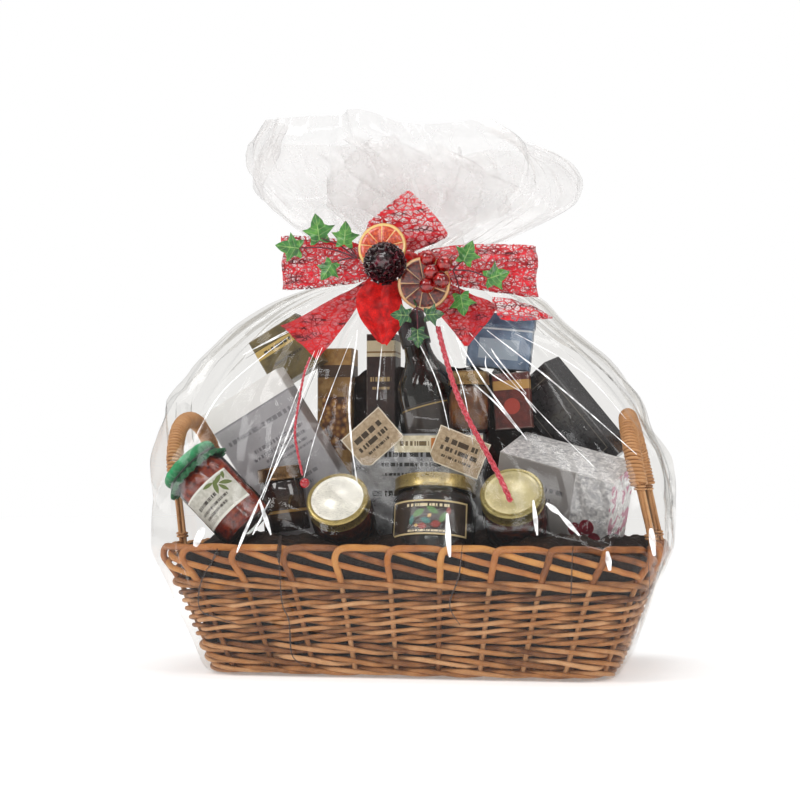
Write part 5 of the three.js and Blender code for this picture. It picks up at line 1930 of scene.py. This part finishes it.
def addSlice(name):
    piece = slices[name]
    radius, seed = piece["radius"], piece["seed"]
    toBasket = posed(piece["pose"])
    profile = smoothPath([(share, half, 0) for share, half in sliceProfile], 4)
    last = len(profile) - 1

    def point(u, v):
        share, half, _ = profile[round(v * last)]
        turn = 2 * pi * u
        around = Vector((cos(turn), sin(turn), seed))
        reach = radius * share * (1 + 0.03 * noise.noise(around * 1.6))
        wave = share * noise.noise(around * 1.1 + Vector((0, 0, 4)))
        swell = abs(sin(4.5 * turn + seed)) ** 0.4 * 0.7 * easeStep(share, 0.08, 0.3)
        swell *= 1 - easeStep(share, 0.78, 0.88)
        front = half + (swell if half > 0 else -swell) - 0.4
        return toBasket(reach * cos(turn), -front + wave, reach * sin(turn))

    cut = makeSheet(name + "Disc", 144, last, point)
    closeRound(cut)
    smoothShade(cut, 60)
    material = newMaterial(name + "Flesh", rough=0.28, coat=0.7, coatRough=0.12, subsurface=0.25,
                           subsurfaceScale=0.003)
    local = localCoords(piece["pose"])
    x, _, z = split(local)
    away = distance(x, z)
    turn = calc("ARCTAN2", z, x)
    wedge = calc("ABSOLUTE", calc("SINE", plus(times(turn, 4.5), float(seed))))
    pulp = noiseAt(scaled(local, (0.35, 1, 0.35)), 1.0, 4, 0.6)
    flesh = colourRamp(pulp, *zip((0.3, 0.5, 0.72), piece["flesh"]))
    skins = both(rangeOf(wedge, 0.2, 0.08), above(away, 2.0))
    skin, pith = piece["rind"]
    linkTo(painted(
        flesh, (times(skins, 0.75), pith), (rangeOf(away, 3.2, 1.6), pith),
        (rangeOf(away, 0.87 * radius, 0.9 * radius), pith),
        (rangeOf(away, 0.955 * radius, 0.98 * radius), skin),
    ), "colour")
    addBump(pulp, 0.9, 0.7)
    finishPiece(cut, material, piece["slot"], name)


cone = {"pose": {"at": (-24, -99.5, 426), "forward": -8}, "scales": 58, "radius": 20, "depth": 31,
        "spiral": 2.39996}


def scaleWidth(size, v):  # half of a scale's width, from its root to its tip
    if v > 0.55:
        return size * 0.52 * sin(pi * min(0.5 + 0.5 * (1 - v) ** 0.6, 1.0)) ** 0.5
    return size * mix(0.3, 0.5, v / 0.55)


def addCone():
    toBasket = posed(cone["pose"])
    scales = []
    for k in range(cone["scales"]):
        share = (k + 0.5) / cone["scales"]
        out = cone["depth"] * (0.06 + 0.9 * share)
        reach = cone["radius"] * sqrt(max(0.0, 1 - (1.02 * share) ** 2.2)) * 0.98 + 2.5
        turn = k * cone["spiral"]
        size = mix(10.5, 6.5, share)
        inward, outward = Vector((cos(turn), 0, sin(turn))), Vector((0, -1, 0))
        aside = inward.cross(outward)
        tilt = radians(mix(78, 16, share))
        along = (inward * sin(tilt) + outward * cos(tilt)).normalized()
        normal = along.cross(aside).normalized()
        tip = inward * reach + outward * out
        root = tip - along * size

        def point(u, v):
            side = 2 * u - 1
            cup = 1.1 * side * side - 1.0 * sin(pi * v) + 0.8 * v * v
            return toBasket(*(root + along * size * v + aside * side * scaleWidth(size, v) + normal * cup))

        scale = makeSheet("coneScale", 8, 8, point)
        applyModifier(scale, "SOLIDIFY", thickness=1.1 * mm, offset=0)
        scales.append(scale)
    core = spinProfile("coneCore", [(0, 0), (8, 1), (14, 6), (13.5, 16), (9, 25), (4, 29.5), (0, 30)], 24)
    core.data.transform(Matrix.Rotation(pi / 2, 4, "X"))
    setDown(core, cone["pose"])
    whole = joinPieces("glossyCone", [core] + scales)
    smoothShade(whole, 50)
    material = newMaterial("darkMaroonCone", rough=0.2, coat=1.0, coatRough=0.08)
    coords = objectCoords()
    tone = noiseAt(coords, 130, 4)
    linkTo(colourRamp(tone, (0.32, "0a0204"), (0.55, "30080f"), (0.78, "74182c")), "colour")
    linkTo(rangeOf(noiseAt(coords, 400, 3), 0.3, 0.7, 0.12, 0.34), "rough")
    addBump(tone, 0.4, 0.5)
    finishPiece(whole, material, "cone", "pine_cone")


berries = {
    "at": (27, -115, 416), "radius": 8.6,
    "places": [(0, 0, 0), (13, 2, 8), (11, -3, -10), (-4, 3, 14), (-5, 3, -14)],
}


def addBerries():
    radius = berries["radius"]
    arc = [(radius * out, radius * up) for out, up in ((0.38, 0.925), (0.71, 0.71), (0.92, 0.38))]
    profile = [(0, radius - 0.2), (0.7, radius + 0.35), (1.4, radius - 0.15), *arc, (radius, 0)]
    profile += [(out, -up) for out, up in reversed(arc)] + [(0, -radius)]
    balls = []
    for k, offset in enumerate(berries["places"]):
        ball = spinProfile("berryBall", profile, 40)
        applyModifier(ball, "SUBSURF", levels=1, render_levels=1)
        at = tuple(a + b for a, b in zip(berries["at"], offset))
        balls.append(setDown(ball, {"at": at, "forward": 55 + 25 * k, "left": -30 + 40 * k}))
    bunch = joinPieces("redBerries", balls)
    smoothShade(bunch, 60)
    material = newMaterial("glossyBerry", rough=0.16, coat=0.6, coatRough=0.05, subsurface=0.15,
                           subsurfaceScale=0.005)
    linkTo(colourRamp(objectNoise(150, 4), (0.3, "440206"), (0.52, "8c0709"), (0.75, "c8281c")), "colour")
    finishPiece(bunch, material, "berry", "berries")


picks = {
    "root": (-16, -62, 432),
    "ends": [
        (-30, -86, 446), (16, -93, 406), (-24, -97, 426), (24, -108, 412), (-56, -86, 436), (44, -92, 420),
        (10, -105, 381),
    ],
}


def addPicks():  # the thin wires that hold the trimmings to the knot
    runs, root = [], Vector(picks["root"])
    for end in picks["ends"]:
        bend = (root + Vector(end)) / 2 + Vector((0, 4, -3))
        path = smoothPath([root, bend, end], 8)
        runs.append((path, [0.9] * len(path)))
    wires = makeRods("trimmingWires", runs)
    material = newMaterial("wrappedWire", rough=0.7)
    linkTo(twoTones(objectNoise(500, 3), "1e3a18", "3c5c2c"), "colour")
    finishPiece(wires, material, "leaf_dark")


addPicks()
addIvy()
addSlice("orange_slice_left")
addSlice("orange_slice_right")
addCone()
addBerries()
print("trimmings in place")
